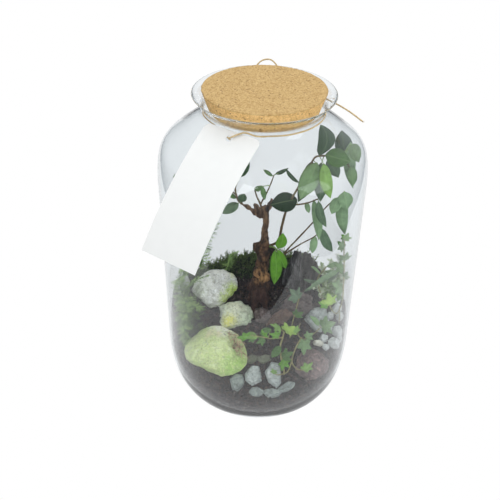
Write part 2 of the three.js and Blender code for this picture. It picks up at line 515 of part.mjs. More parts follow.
const IVY = {
  ivy_front: {
    stems: [
      { path: [[26, -58, 38], [25, -57, 48], [22, -50, 59], [21, -44, 67], [23, -40, 75], [24, -38, 80]],
        radii: [1, 1, 0.8] },
      { path: [[22.6, -51, 58], [31, -53, 60], [30.4, -58, 57], [27.4, -64, 54.6], [21, -67, 54.4], [17.6, -69, 56]],
        radii: [0.8, 0.6] },
      { path: [[23, -40, 75], [13, -44, 77], [7, -48, 82], [0, -52, 87], [-7, -56, 92]], radii: [0.7, 0.5] },
    ],
    leaves: [
      { from: [25, -39, 81], to: [32, -45, 92], width: 15, turn: 0 },
      { from: [21, -39, 84], to: [12, -41, 93], width: 10, turn: 10 },
      { from: [12, -41, 86], to: [3, -47, 87], width: 12, turn: 0 },
      { from: [20, -42, 79], to: [11, -48, 86], width: 8, turn: 10 },
      { from: [23, -51, 60], to: [31, -55, 71], width: 12, turn: 0 },
      { from: [26, -53, 60], to: [21.4, -63, 56], width: 11, turn: 0 },
      { from: [21, -44, 68], to: [13, -54, 63], width: 8, turn: 20, outline: STRAP },
      { from: [16.6, -69.2, 57.4], to: [13, -70, 65], width: 8, turn: 0 },
      { from: [6, -49, 82], to: [0, -57, 83], width: 9, turn: 0 },
      { from: [0, -53, 87], to: [-11, -59, 95], width: 12, turn: 0 },
      { from: [-7, -57, 92], to: [-18, -64, 95], width: 12, turn: 0 },
      { from: [7, -48, 82], to: [3, -49, 91], width: 7, turn: 0 },
    ],
  },
  ivy_middle: {
    stems: [
      { path: [[39, -25, 56], [41, -31, 67], [40.5, -38, 72], [37, -43, 70.5], [33, -50, 64], [32, -56, 59],
        [36, -61.5, 57], [42, -64, 57.5]], radii: [0.9, 0.8, 0.6] },
      { path: [[41, -38, 71], [37, -35, 76], [39, -29.5, 84]], radii: [0.7, 0.5] },
      { path: [[41, -38, 71], [47, -40, 76], [53, -37, 80], [58, -34, 84]], radii: [0.7, 0.5] },
    ],
    leaves: [
      { from: [42, -64.6, 58], to: [50, -64, 67], width: 10, turn: 0 },
      { from: [43, -41, 74], to: [42, -52, 65], width: 13, turn: 0 },
      { from: [44, -40, 75], to: [50, -42, 83], width: 9, turn: 0 },
      { from: [37, -35, 77], to: [31, -37, 86], width: 9, turn: 0 },
      { from: [58, -34.6, 84], to: [68, -40, 95], width: 16, turn: 0 },
      { from: [56, -35, 84], to: [46, -33, 95], width: 9, turn: 10, outline: STRAP },
    ],
  },
  ivy_right: {
    stems: [
      { path: [[78.5, -9, 60], [78, -11, 76], [76, -16, 90], [77, -20, 106], [76, -20, 126], [75, -18, 144],
        [74, -14, 158], [74, -11, 168]], radii: [0.9, 0.8, 0.6] },
      { path: [[76, -16, 89], [72, -24, 92], [67, -28, 100], [64, -30, 108]], radii: [0.7, 0.55] },
    ],
    leaves: [
      { from: [65, -30, 107], to: [62, -33, 122], width: 15, turn: 0 },
      { from: [63, -31, 107], to: [54, -34, 113], width: 9, turn: 0 },
      { from: [76, -21, 118], to: [66, -26, 131], width: 14, turn: 0 },
      { from: [75, -20, 141], to: [66, -24, 151], width: 11, turn: 0 },
      { from: [74, -18.8, 150], to: [76.5, -23, 160.5], width: 11, turn: 0 },
      { from: [76, -21, 132], to: [76.5, -26, 142], width: 8, turn: 0 },
      { from: [74, -14.6, 160], to: [68, -18, 170], width: 10, turn: 0 },
      { from: [74, -11, 166], to: [76, -15, 176], width: 9, turn: 0 },
      { from: [76, -20, 110], to: [67, -29, 117], width: 8, turn: 20 },
    ],
  },
  ivy_star: {
    stems: [{ path: [[30, -29, 56], [31, -30, 78], [34, -27, 96], [37, -20, 106]], radii: [0.8, 0.6] }],
    leaves: [
      { from: [37, -21, 106], to: [29, -24, 119], width: 15, turn: 0 },
      { from: [33, -28, 92], to: [40, -33, 99], width: 10, turn: 0 },
    ],
  },
  ivy_narrow: {
    outline: STRAP,
    stems: [{ path: [[66, 6, 64], [62, 3, 86], [56, -3, 106], [54, -7, 120], [60, -9, 134]], radii: [0.9, 0.7] }],
    leaves: [
      { from: [56, -4, 108], to: [42, -8, 104], width: 5, turn: 0 },
      { from: [55, -6, 115], to: [41, -9, 120], width: 5, turn: 0 },
      { from: [56, -8.4, 121], to: [66, -12, 125], width: 5, turn: 0 },
      { from: [56.2, -8.6, 126.4], to: [47, -10, 136], width: 5, turn: 0 },
      { from: [60.6, -9.4, 135.4], to: [69, -13, 144], width: 6, turn: 0 },
      { from: [59.4, -9.6, 129], to: [69, -14, 132], width: 5, turn: 0 },
    ],
  },
};

// An asparagus frond: a thin arching stem, with needles on both sides that shorten towards its tip
const FERNS = {
  fern_tall: { path: [[-68, 17, 74], [-71, 15, 108], [-75, 10, 152], [-77, 4, 194], [-74, -4, 224]], reach: 10,
    across: [0.25, 1, 0], seed: 1 },
  fern_behind: { path: [[-62, 30, 84], [-56, 27, 118], [-47, 17, 148], [-39, 7, 170]], reach: 9,
    across: [0.8, 0.2, -0.5], seed: 2 },
  fern_front: { path: [[-69, -13, 70], [-69, -19, 98], [-67, -31, 110], [-63, -46, 104]], reach: 10,
    across: [1, -0.1, 0.2], seed: 3 },
  fern_low: { path: [[-70, -6, 74], [-73, -9, 100], [-74, -17, 122], [-69, -29, 128]], reach: 8,
    across: [0.8, 0.3, 0.5], seed: 4 },
  fern_sprig: { path: [[-31, 27, 92], [-31, 22, 112], [-27, 17, 125], [-21, 14, 131]], reach: 7,
    across: [0.5, 0.3, 0.8], seed: 5 },
};
const NEEDLE_PAIRS = 9;

function frond({ path, reach, across, seed }) {
  const curve = new THREE.CatmullRomCurve3(path.map(point));
  const parts = [limb(path, [0.8, 0.7, 0.5], 4, path.length + 1)];
  for (let i = 0; i < NEEDLE_PAIRS; i += 1) {
    const t = mix(0.3, 0.99, i / (NEEDLE_PAIRS - 1));
    const along = curve.getTangentAt(t);
    [-1, 1].forEach((side) => {
      const k = 2 * i + (side + 1) / 2;
      const length = reach * mix(1, 0.45, t) * mix(0.8, 1.2, draw(k, seed));
      const way = point(across).multiplyScalar(side).addScaledVector(along, 0.7)
        .add(point([0, 0, 0.5 * (draw(k + 40, seed) - 0.5)])).normalize();
      const needle = new THREE.ConeGeometry(0.5, length, 3).translate(0, length / 2, 0);
      const turn = new THREE.Quaternion().setFromUnitVectors(point([0, 1, 0]), way);
      const foot = curve.getPointAt(t);
      parts.push(solid(needle.applyQuaternion(turn).translate(foot.x, foot.y, foot.z)));
    });
  }
  return largest(join(parts));
}

// A moss cushion: a low lens bedded in the ground, with sprigs standing out of it
const MOSS = {
  moss_bank: { at: [-2, 41], half: [63, 25], high: 5, deep: 5, sprigs: 34, long: 7, seed: 1 },
  moss_left: { at: [-66, -21], half: [11, 21], high: 6, deep: 5, sprigs: 12, long: 9, seed: 2 },
};

function mossBed({ at, half, high, deep, seed }, grow = 0) {
  const lens = new THREE.SphereGeometry(1, 18, 6).rotateX(Math.PI / 2);
  return solid(moved(lens, (x, y, z) => {
    const edge = 1 + 0.07 * Math.sin(5 * Math.atan2(y, x) + seed);
    const [east, north] = [at[0] + x * edge * (half[0] + grow), at[1] + y * edge * (half[1] + grow)];
    const height = z > 0 ? z * (high + grow) : z * (deep + grow);
    return new THREE.Vector3(east, north, ground(east, north) + height);
  }));
}

function moss(bed) {
  const { at, half, high, sprigs, long, seed } = bed;
  const parts = [mossBed(bed)];
  for (let i = 0; i < sprigs; i += 1) {
    const angle = 2 * Math.PI * draw(i, seed);
    const r = Math.sqrt(draw(i + 500, seed)) * 0.9;
    const [east, north] = [at[0] + r * half[0] * Math.cos(angle), at[1] + r * half[1] * Math.sin(angle)];
    const length = long * mix(0.7, 1.2, draw(i + 900, seed));
    const sprig = new THREE.ConeGeometry(1.1, length, 3).rotateX(Math.PI / 2).translate(0, 0, length / 2);
    const lean = [40 * (draw(i + 1300, seed) - 0.5), 50 * (draw(i + 1700, seed) - 0.5), 360 * draw(i, seed + 3)];
    const foot = ground(east, north) + high * Math.sqrt(1 - r * r) - 1.2;
    parts.push(solid(placed(sprig, [east, north, foot], lean)));
  }
  return join(parts);
}

// The room inside the jar, a gap away from the glass
function inside() {
  const low = INNER.slice(1, 13).map(([r, z]) => [r - GAP, Math.max(z, FOOT_FLOOR + GAP)]);
  return turned([[0, FOOT_FLOOR + GAP], ...low, [0, low.at(-1)[1]]]);
}

const finish = (colour, roughness, more = {}) => (
  new THREE.MeshStandardMaterial({ color: colour, roughness, metalness: 0, ...more }));
const FINISHES = {
  glass: finish(0xdfe8ee, 0.05, { transparent: true, opacity: 0.25 }),
  cork: finish(0xd2ac6e, 0.85),
  jute: finish(0xb79a63, 0.9),
  card: finish(0xf4f6f5, 0.7),
  earth: finish(0x2b2422, 0.95),
  moss: finish(0x2c4a1d, 0.9),
  lime: finish(0xbfd98a, 0.6),
  pale: finish(0xd3d8a4, 0.65),
  grey: finish(0xbcc2b4, 0.75),
  slate: finish(0x9aa39d, 0.7),
  brown: finish(0x7a6258, 0.65),
  dark: finish(0x54433d, 0.85),
  bark: finish(0x4a4140, 0.9),
  wood: finish(0x6e4a32, 0.8),
  ficusLeaf: finish(0x3e6b33, 0.35),
  ivyLeaf: finish(0x6fa244, 0.45),
  fern: finish(0x5c8a3c, 0.6),
};

const terrarium = new THREE.Group();

function add(name, body, material) {
  const geometry = meshOf(body);
  geometry.computeVertexNormals();
  const mesh = new THREE.Mesh(geometry, material);
  mesh.name = name;
  terrarium.add(mesh);
}

add('jar', jar(), FINISHES.glass);
add('cork', cork(), FINISHES.cork);
add('twine', twine(), FINISHES.jute);
add('tag', tag(), FINISHES.card);

// Room for what stands in the soil and the moss: each pressed piece, a gap larger all round
const room = inside();
const bulk = largest(cut(boulder(BOULDERS.find(({ name }) => name === 'rock_root')), [trunk(GAP)]));
const stoneRooms = [...BOULDERS.map((item) => boulder(item, GAP)), ...CHIPS.map((item) => chip(item, GAP))];
const rooted = [FICUS.ficus_middle, ...Object.values(IVY)].map(({ stems }) => stems[0].path)
  .concat(Object.values(FERNS).map(({ path }) => path));
const stemRooms = rooted.map((path) => limb(path, [1.4, 1.3], 5, path.length + 1, GAP));
const woodRooms = [trunk(GAP), bark(GAP)];
const mossRooms = Object.values(MOSS).map((bed) => mossBed(bed, GAP).intersect(room));

BOULDERS.forEach((item) => {
  add(item.name, item.name === 'rock_root' ? bulk : boulder(item), FINISHES[item.tone]);
});
CHIPS.forEach((item) => add(item.name, chip(item), FINISHES[item.tone]));
add('bark', bark(), FINISHES.bark);
add('ficus_trunk', trunk(), FINISHES.wood);
Object.entries(MOSS).forEach(([name, bed]) => {
  const body = cut(moss(bed).intersect(room), [...stoneRooms, ...woodRooms, ...stemRooms]);
  add(name, largest(body), FINISHES.moss);
});
Object.entries(FICUS).forEach(([name, plant]) => {
  add(name, largest(leafy(plant).subtract(trunk(GAP))), FINISHES.ficusLeaf);
});
Object.entries(IVY).forEach(([name, plant]) => {
  add(name, leafy({ outline: LOBED, ...plant }), FINISHES.ivyLeaf);
});
Object.entries(FERNS).forEach(([name, item]) => add(name, frond(item), FINISHES.fern));
const soil = cut(soilBody(), [...stoneRooms, ...woodRooms, ...mossRooms, ...stemRooms]);
add('soil', largest(soil), FINISHES.earth);

export default terrarium;
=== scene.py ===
"""A planted glass terrarium: a cork-stoppered jar with a blank tag on jute twine, planted with a small
ficus, ivy, asparagus fern and moss between boulders and slate.

Shapes are worked out in millimetres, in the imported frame: +Z up, and -Y towards the front.
"""

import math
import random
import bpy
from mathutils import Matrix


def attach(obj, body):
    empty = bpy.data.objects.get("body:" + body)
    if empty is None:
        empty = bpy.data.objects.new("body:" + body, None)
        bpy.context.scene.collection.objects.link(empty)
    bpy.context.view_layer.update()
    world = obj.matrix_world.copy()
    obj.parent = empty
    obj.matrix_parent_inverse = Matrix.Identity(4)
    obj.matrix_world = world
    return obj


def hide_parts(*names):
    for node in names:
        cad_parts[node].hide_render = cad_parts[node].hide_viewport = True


bl_info = {
    "name": "Glass plant terrarium",
    "version": (1, 0, 0),
    "blender": (4, 5, 0),
    "location": "3D View > Sidebar > Terrarium",
    "description": "Builds a planted glass jar with its cork, twine, tag, stones and plants",
    "category": "Add Mesh",
}

import bmesh
import bpy
import numpy as np
from bpy.props import FloatProperty, FloatVectorProperty, PointerProperty
from bpy.types import Operator, Panel, PropertyGroup
from mathutils import Euler, Matrix, Vector, noise

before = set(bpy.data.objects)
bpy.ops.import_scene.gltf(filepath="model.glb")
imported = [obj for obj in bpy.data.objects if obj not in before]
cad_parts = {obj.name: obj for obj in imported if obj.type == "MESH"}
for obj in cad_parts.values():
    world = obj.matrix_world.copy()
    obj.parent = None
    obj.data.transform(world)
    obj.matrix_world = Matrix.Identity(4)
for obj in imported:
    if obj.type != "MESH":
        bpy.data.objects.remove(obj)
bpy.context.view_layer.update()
BODY = "root"
MM = 0.001

# The jar's driving sizes, as in the solid model. Its wall is thinner here, because clear glass
# bends light so that what stands against it seems to reach its outside
JAR_R = 87.5
WALL = 1.5
FOOT_R = 70
FOOT_FLOOR = 2.4
BASE_CURVE_H = 53
WALL_TOP = 224
SHOULDER = (7.8, 33)
RIM_WALL = 1.0
NECK = (46.9, 284.2)
RIM = (57, 297)
CORK_TOP = 301
CORK_BOTTOM = 284.5
CORK_R = (49.35, 43.9)
GAP = 0.1

# The heights over which most of the flare's glass stops bending what is behind it, those over which
# the bead of the rim starts to bend it again, and how much of the glass that takes
FLARE = (285, 290)
BEAD = (294.2, 295.4)
FLARE_SHARE = 0.85
GLASS_IOR = 1.45

# Where the camera stands, how it looks down and aside, and how it leans
CAMERA_AT = (0, -488.5, 502.0)
LOOK_DOWN = math.radians(36.18)
LOOK_ASIDE = math.radians(1.098)
LEAN = math.radians(0.907)
LENS = 47.64
SENSOR = 36

# Where the light table ends in front on the left and the right, and behind, its half widths there,
# and how far it lies under the jar
TABLE_FRONT = (-192, -292, 255)
TABLE_BACK = (1500, 800)
TABLE_DROP = 0.2

# The room's light: the levels between which it changes, and its colours there
SKY_LEVELS = (-0.45, 0.3)
SKY_COLOURS = ((0.2, 0.215, 0.23, 1), (0.95, 0.98, 1, 1))


def smooth(low, high, x):
    """0 below low, 1 above high, and eased between them."""
    t = min(max((x - low) / (high - low), 0), 1)
    return t * t * (3 - 2 * t)


def mix(a, b, t):
    """The value at t between a and b."""
    return a + (b - a) * t


# Shapes


def turned(profile, segments=144):
    """A bmesh of a lathe profile, given as (radius, height), spun round the jar's axis."""
    bm = bmesh.new()
    verts = [bm.verts.new((r, 0, z)) for r, z in profile]
    edges = [bm.edges.new(pair) for pair in zip(verts, verts[1:])]
    bmesh.ops.spin(
        bm, geom=verts + edges, cent=(0, 0, 0), axis=(0, 0, 1), angle=math.tau, steps=segments, use_merge=True
    )
    bmesh.ops.remove_doubles(bm, verts=bm.verts, dist=0.001)
    bmesh.ops.recalc_face_normals(bm, faces=bm.faces)
    return bm


def hull(corners, bm=None):
    """A bmesh of the smallest convex body round the corners."""
    bm = bm or bmesh.new()
    verts = [bm.verts.new(p) for p in corners]
    done = bmesh.ops.convex_hull(bm, input=verts)
    loose = {v for v in done["geom_interior"] if isinstance(v, bmesh.types.BMVert)}
    bmesh.ops.delete(bm, geom=list(loose), context="VERTS")
    return bm


def evaluated(data, modifiers=()):
    """The mesh that an object of this data shows once these modifiers are applied."""
    holder = bpy.data.objects.new("holder", data)
    bpy.context.scene.collection.objects.link(holder)
    for kind, settings in modifiers:
        modifier = holder.modifiers.new(kind, kind)
        for key, value in settings.items():
            setattr(modifier, key, value)
    graph = bpy.context.evaluated_depsgraph_get()
    mesh = bpy.data.meshes.new_from_object(holder.evaluated_get(graph))
    bpy.data.objects.remove(holder)
    return mesh


def bmesh_of(mesh):
    """A bmesh that takes over a mesh."""
    bm = bmesh.new()
    bm.from_mesh(mesh)
    bpy.data.meshes.remove(mesh)
    return bm


def mesh_of(bm, name):
    """A mesh that takes over a bmesh."""
    mesh = bpy.data.meshes.new(name)
    bm.to_mesh(mesh)
    bm.free()
    return mesh


def absorb(bm, part):
    """Adds a bmesh to another, which uses it up, and says how many points it brought."""
    mesh = mesh_of(part, "part")
    count = len(mesh.vertices)
    bm.from_mesh(mesh)
    bpy.data.meshes.remove(mesh)
    return count


def fused(bm, voxel):
    """The bmesh's bodies fused and remeshed evenly, with their edges worn a little."""
    remesh = ("REMESH", {"mode": "VOXEL", "voxel_size": voxel})
    out = bmesh_of(evaluated(mesh_of(bm, "rough"), [remesh]))
    bmesh.ops.smooth_vert(out, verts=out.verts, factor=0.5, use_axis_x=True, use_axis_y=True, use_axis_z=True)
    return out


def roughen(bm, amount, grain, seed, octaves, stretch=(1, 1, 1), where=None):
    """Moves each vertex along its normal by a fractal of this grain, in millimetres."""
    bm.normal_update()
    shift = Vector((seed * 17.1, seed * 7.7, seed * 3.3))
    moves = []
    for v in bm.verts:
        at = Vector(c / (grain * s) for c, s in zip(v.co, stretch)) + shift
        k = amount * noise.fractal(at, 0.8, 2.1, octaves)
        moves.append(v.normal * k * (where(v.co) if where else 1))
    for v, move in zip(bm.verts, moves):
        v.co += move


def along(points, steps):
    """Points evenly spread on a smooth curve through the given ones, as a list of vectors."""
    p = [Vector(q) for q in points]
    p = [2 * p[0] - p[1], *p, 2 * p[-1] - p[-2]]
    fine = []
    for a, b, c, d in zip(p, p[1:], p[2:], p[3:]):
        for k in range(12):
            t = k / 12
            square = (2 * a - 5 * b + 4 * c - d) * t**2
            cube = (3 * b - a - 3 * c + d) * t**3
            fine.append(0.5 * (2 * b + (c - a) * t + square + cube))
    fine.append(p[-2].copy())
    reach = [0.0]
    for a, b in zip(fine, fine[1:]):
        reach.append(reach[-1] + (b - a).length)
    out = []
    for k in range(steps + 1):
        want = reach[-1] * k / steps
        i = max(min(int(np.searchsorted(reach, want)), len(fine) - 1), 1)
        share = (want - reach[i - 1]) / max(reach[i] - reach[i - 1], 1e-9)
        out.append(fine[i - 1].lerp(fine[i], share))
    return out


def tubes(routes, sides):
    """One bmesh of round tubes. A route is its points and a radius for each point."""
    curve = bpy.data.curves.new("tubes", "CURVE")
    curve.dimensions = "3D"
    curve.bevel_depth = 1
    curve.bevel_resolution = sides
    curve.use_fill_caps = True
    for points, radii in routes:
        spline = curve.splines.new("POLY")
        spline.points.add(len(points) - 1)
        for at, p, r in zip(spline.points, points, radii):
            at.co = (*p, 1)
            at.radius = r
    bm = bmesh_of(evaluated(curve))
    bpy.data.curves.remove(curve)
    return bm


def tapered(points, radii, steps, wobble=0, seed=0):
    """A route for tubes: a smooth curve through the points, with its radius going through the list."""
    path = along(points, steps)
    sizes = []
    for k, p in enumerate(path):
        at = k / steps * (len(radii) - 1)
        i = min(int(at), len(radii) - 2)
        bumpy = 1 + wobble * noise.noise(p * 0.35 + Vector((seed, 0, 0)))
        sizes.append(mix(radii[i], radii[i + 1], at - i) * bumpy)
    return path, sizes


def repeated(source, places, tones):
    """A mesh of copies of a small bmesh, each put by its matrix, with its tone kept on its points."""
    source.verts.ensure_lookup_table()
    points = np.array([(*v.co, 1) for v in source.verts])
    faces = [[v.index for v in f.verts] for f in source.faces]
    count = len(points)
    stack = np.concatenate([points @ np.array(m).T[:, :3] for m in places])
    mesh = bpy.data.meshes.new("repeats")
    shifted = [[i + count * k for i in f] for k in range(len(places)) for f in faces]
    mesh.from_pydata(stack.tolist(), [], shifted)
    tone = mesh.attributes.new("tone", "FLOAT", "POINT")
    tone.data.foreach_set("value", np.repeat(np.array(tones, float), count))
    source.free()
    return mesh


def laid(at, way, right, size):
    """The matrix that puts a shape at a place, with its Y axis along way and its X axis along right."""
    basis = Matrix((right, way, right.cross(way))).transposed().to_4x4()
    return Matrix.Translation(at) @ basis @ Matrix.Scale(size, 4)


def piece(shape, name, material, node, shade_smooth=True):
    """A bmesh or mesh in millimetres as a piece in metres. It replaces the node, if there is one so named."""
    mesh = mesh_of(shape, name) if isinstance(shape, bmesh.types.BMesh) else shape
    mesh.name = name
    mesh.transform(Matrix.Scale(MM, 4))
    mesh.materials.append(material)
    if shade_smooth:
        mesh.shade_smooth()
    else:
        mesh.shade_flat()
    obj = bpy.data.objects.new(name, mesh)
    bpy.context.scene.collection.objects.link(obj)
    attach(obj, BODY)
    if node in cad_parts:
        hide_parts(node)


# Materials


class Finish:
    """A material under construction: a node tree round one Principled shader."""

    def __init__(self, name, **settings):
        self.material = bpy.data.materials.new(name)
        self.material.use_nodes = True
        self.tree = self.material.node_tree
        self.shader = self.tree.nodes["Principled BSDF"]
        for key, value in settings.items():
            self.shader.inputs[key.replace("_", " ")].default_value = value
        coords = self.tree.nodes.new("ShaderNodeTexCoord")
        self.place = coords.outputs["Object"]
        self.uv = coords.outputs["UV"]

    def node(self, kind, links=None, **settings):
        """A node of this kind. Settings are its own values, and links are its inputs by name or number."""
        made = self.tree.nodes.new("ShaderNode" + kind)
        for key, value in settings.items():
            setattr(made, key, value)
        for key, value in (links or {}).items():
            socket = made.inputs[key]
            if isinstance(value, bpy.types.NodeSocket):
                self.tree.links.new(value, socket)
            else:
                socket.default_value = value
        return made

    def axis(self, number):
        """The place along X, Y or Z, in metres."""
        return self.node("SeparateXYZ", {0: self.place}).outputs[number]

    def distance(self, middle):
        """How far away a point is, which is given in millimetres."""
        ends = {0: self.place, 1: Vector(middle) * MM}
        return self.node("VectorMath", ends, operation="DISTANCE").outputs["Value"]

    def stretched(self, *scale):
        """The place, scaled along each axis."""
        return self.node("Mapping", {"Vector": self.place, "Scale": scale}).outputs["Vector"]

    def grain(self, size, detail=4, rough=0.55, vector=None, warp=0, output="Fac"):
        """Fractal noise from 0 to 1 whose features are this many millimetres across."""
        links = {"Vector": vector or self.place, "Scale": 1 / MM / size, "Detail": detail}
        links |= {"Roughness": rough, "Distortion": warp}
        return self.node("TexNoise", links).outputs[output]

    def cells(self, size, feature="F1", output="Distance", vector=None):
        """Cells of this many millimetres across."""
        links = {"Vector": vector or self.place, "Scale": 1 / MM / size}
        return self.node("TexVoronoi", links, feature=feature).outputs[output]

    def shares(self, size, channel):
        """A random share from 0 to 1 for each cell of this size. Each channel has its own."""
        return self.node("SeparateColor", {0: self.cells(size, output="Color")}).outputs[channel]

    def ramp(self, factor, *stops):
        """Colours by a factor. A stop is its place and its colour."""
        made = self.node("ValToRGB", {"Fac": factor})
        elements = made.color_ramp.elements
        while len(elements) < len(stops):
            elements.new(0.5)
        for element, (at, colour) in zip(elements, stops):
            element.position = at
            element.color = (*colour, 1)
        return made.outputs["Color"]

    def blend(self, factor, a, b, how="MIX"):
        """Two colours mixed by a factor."""
        a, b = ((*colour, 1) if isinstance(colour, tuple) else colour for colour in (a, b))
        return self.node("Mix", {0: factor, 6: a, 7: b}, data_type="RGBA", blend_type=how).outputs[2]

    def sums(self, how, a, b=0.0, clamp=False):
        """A Math node of two numbers."""
        return self.node("Math", {0: a, 1: b}, operation=how, use_clamp=clamp).outputs[0]

    def times(self, a, b):
        """Two numbers multiplied."""
        return self.sums("MULTIPLY", a, b)

    def step(self, value, low, high):
        """The value brought from low..high to 0..1."""
        return self.node("MapRange", {"Value": value, "From Min": low, "From Max": high}).outputs["Result"]

    def colour(self, value):
        """Gives the surface its colour."""
        self.tree.links.new(value, self.shader.inputs["Base Color"])

    def bumps(self, *layers):
        """Raises the surface by layers of a height, a strength and a depth in millimetres."""
        normal = None
        for height, strength, depth in layers:
            links = {"Height": height, "Strength": strength, "Distance": depth * MM}
            if normal is not None:
                links["Normal"] = normal
            normal = self.node("Bump", links).outputs["Normal"]
        self.tree.links.new(normal, self.shader.inputs["Normal"])

    def shows(self, made):
        """Shows another shader in place of the Principled one."""
        self.tree.links.new(made.outputs[0], self.tree.nodes["Material Output"].inputs["Surface"])
        self.tree.nodes.remove(self.shader)


def glass_finish(tint):
    """Clear glass that bends what is seen through it, and lets the lamps' light straight in."""
    f = Finish("clear_glass")
    bent = f.node("BsdfGlass", {"Color": (*tint, 1), "Roughness": 0.0, "IOR": GLASS_IOR})
    straight = f.node("BsdfTransparent", {"Color": (*tint, 1)})
    shadow = f.node("LightPath").outputs["Is Shadow Ray"]
    height = f.axis(2)
    flare = f.times(f.step(height, FLARE[0] * MM, FLARE[1] * MM), FLARE_SHARE)
    thin = f.times(flare, f.step(height, BEAD[1] * MM, BEAD[0] * MM))
    share = f.sums("MAXIMUM", shadow, thin)
    f.shows(f.node("MixShader", {0: share, 1: bent.outputs[0], 2: straight.outputs[0]}))
    return f.material


def cork_finish(colour):
    """Pressed cork: pale granules in two sizes, with darker binder and a few brown specks. Its side is
    painted paler than its top, as painted light that makes up for the light its side lacks."""
    f = Finish("cork", Roughness=0.8, Specular_IOR_Level=0.25)
    seams = f.cells(1.1, feature="DISTANCE_TO_EDGE")
    tan = tuple(colour)
    deep = (tan[0] * 0.6, tan[1] * 0.5, tan[2] * 0.4)
    pale = (min(tan[0] * 1.22, 1), min(tan[1] * 1.27, 1), tan[2] * 1.45)
    base = f.ramp(f.shares(1.5, 0), (0.0, deep), (0.3, tan), (0.7, tan), (1.0, pale))
    small = f.ramp(f.shares(0.75, 1), (0.0, deep), (0.45, tan), (0.8, pale))
    lined = f.blend(f.step(seams, 0.06, 0.0), f.blend(0.55, base, small), deep)
    specks = f.times(f.step(f.shares(1.3, 2), 0.955, 0.97), 0.7)
    speckled = f.blend(specks, lined, (0.13, 0.06, 0.025))
    # Painted light: the cork's side is lightened beyond its top, as if more light fell on it
    side = f.times(f.step(f.axis(2), (CORK_TOP - 0.5) * MM, (CORK_TOP - 1.5) * MM), 0.9)
    f.colour(f.blend(side, speckled, f.blend(1.0, speckled, (1.6, 1.5, 1.4), "MULTIPLY")))
    f.bumps((seams, 0.5, 0.5), (f.grain(0.7), 0.35, 0.4))
    return f.material


def jute_finish():
    """Jute yarn: straw brown, with darker fibres along it."""
    f = Finish("jute", Roughness=0.85, Specular_IOR_Level=0.2)
    straw = [(0.3, (0.3, 0.2, 0.1)), (0.5, (0.6, 0.45, 0.24)), (0.72, (0.82, 0.7, 0.46))]
    f.colour(f.ramp(f.grain(0.6, 6), *straw))
    f.bumps((f.grain(0.25, 5), 0.6, 0.2))
    return f.material


def card_finish(colour):
    """White card: nearly even, with the faint mottle and tooth of pulp."""
    f = Finish("white_card", Roughness=0.62, Specular_IOR_Level=0.3)
    f.colour(f.ramp(f.grain(9, 6), (0.35, tuple(c * 0.985 for c in colour)), (0.6, tuple(colour))))
    f.bumps((f.grain(0.35, 6), 0.25, 0.06))
    return f.material


def soil_finish():
    """Potting soil: dark crumbs of peat, with brown fibre and a few pale grains."""
    f = Finish("potting_soil", Roughness=0.95, Specular_IOR_Level=0.15)
    peat = [(0.34, (0.006, 0.005, 0.005)), (0.52, (0.034, 0.025, 0.026)), (0.68, (0.13, 0.09, 0.08))]
    dark = f.ramp(f.grain(4, 8, 0.75), *peat)
    fibres = f.times(f.step(f.shares(1.5, 0), 0.86, 0.92), 0.6)
    pale = f.times(f.step(f.shares(1.5, 1), 0.985, 0.99), 0.6)
    brown = f.blend(fibres, dark, (0.12, 0.07, 0.04))
    f.colour(f.blend(pale, brown, (0.25, 0.23, 0.2)))
    f.bumps((f.cells(2.2), 0.8, 1.6), (f.grain(1.0, 6), 0.6, 0.7))
    return f.material


def stone_finish(name, body, clouds=(), spots=(), roughness=0.7, pits=1.0, contrast=0.25, cracks=None):
    """A stone in its body colour. A cloud is a colour, its size and its reach. A spot is its middle and
    radius in millimetres, its colour and its strength. Cracks are their colour, spacing and strength."""
    f = Finish(name, Roughness=roughness, Specular_IOR_Level=0.3)
    darker = tuple(c * (1 - contrast) for c in body)
    lighter = tuple(min(c * (1 + contrast), 1) for c in body)
    shown = f.ramp(f.grain(6, 8, 0.7), (0.32, darker), (0.5, body), (0.68, lighter))
    for number, (colour, size, reach) in enumerate(clouds):
        moved = f.node("Mapping", {"Vector": f.place, "Location": (0.31 * number, 0.17, 0.05 * number)})
        cloud = f.grain(size, 6, 0.65, moved.outputs["Vector"], 0.4)
        shown = f.blend(f.step(cloud, 1 - reach, 1.14 - reach), shown, colour)
    ragged = f.times(f.sums("SUBTRACT", f.grain(5, 6, 0.7), 0.5), 1.6)
    for middle, radius, colour, strength in spots:
        away = f.distance(middle)
        near = f.sums("ADD", f.step(away, radius * MM, 0.25 * radius * MM), ragged, clamp=True)
        inside = f.step(away, radius * 1.3 * MM, radius * 1.1 * MM)
        shown = f.blend(f.times(f.times(near, inside), strength), shown, colour)
    speckle = f.step(f.grain(1.7, 3, 0.6), 0.5, 0.75)
    shown = f.blend(speckle, shown, tuple(min(c * 1.5, 0.85) for c in body))
    if cracks:
        dark, spacing, strength = cracks
        drift = {0: f.grain(spacing, 5, 0.7, output="Color"), "Scale": spacing * 0.9 * MM}
        moved = f.node("VectorMath", drift, operation="SCALE").outputs["Vector"]
        warped = f.node("VectorMath", {0: f.place, 1: moved}, operation="ADD").outputs["Vector"]
        line = f.step(f.cells(spacing, feature="DISTANCE_TO_EDGE", vector=warped), 0.09, 0.0)
        broken = f.step(f.grain(spacing * 1.1, 4), 0.42, 0.58)
        shown = f.blend(f.times(f.times(line, broken), strength), shown, dark)
    holes = f.step(f.grain(1.6, 6, 0.65), 0.36, 0.47)
    f.colour(f.blend(f.step(holes, 0.5, 0.0), shown, tuple(c * 0.45 for c in body)))
    f.bumps((f.grain(4, 8, 0.65), 0.5, 1.0 * pits), (holes, 0.5, 0.4 * pits))
    return f.material


# The stage


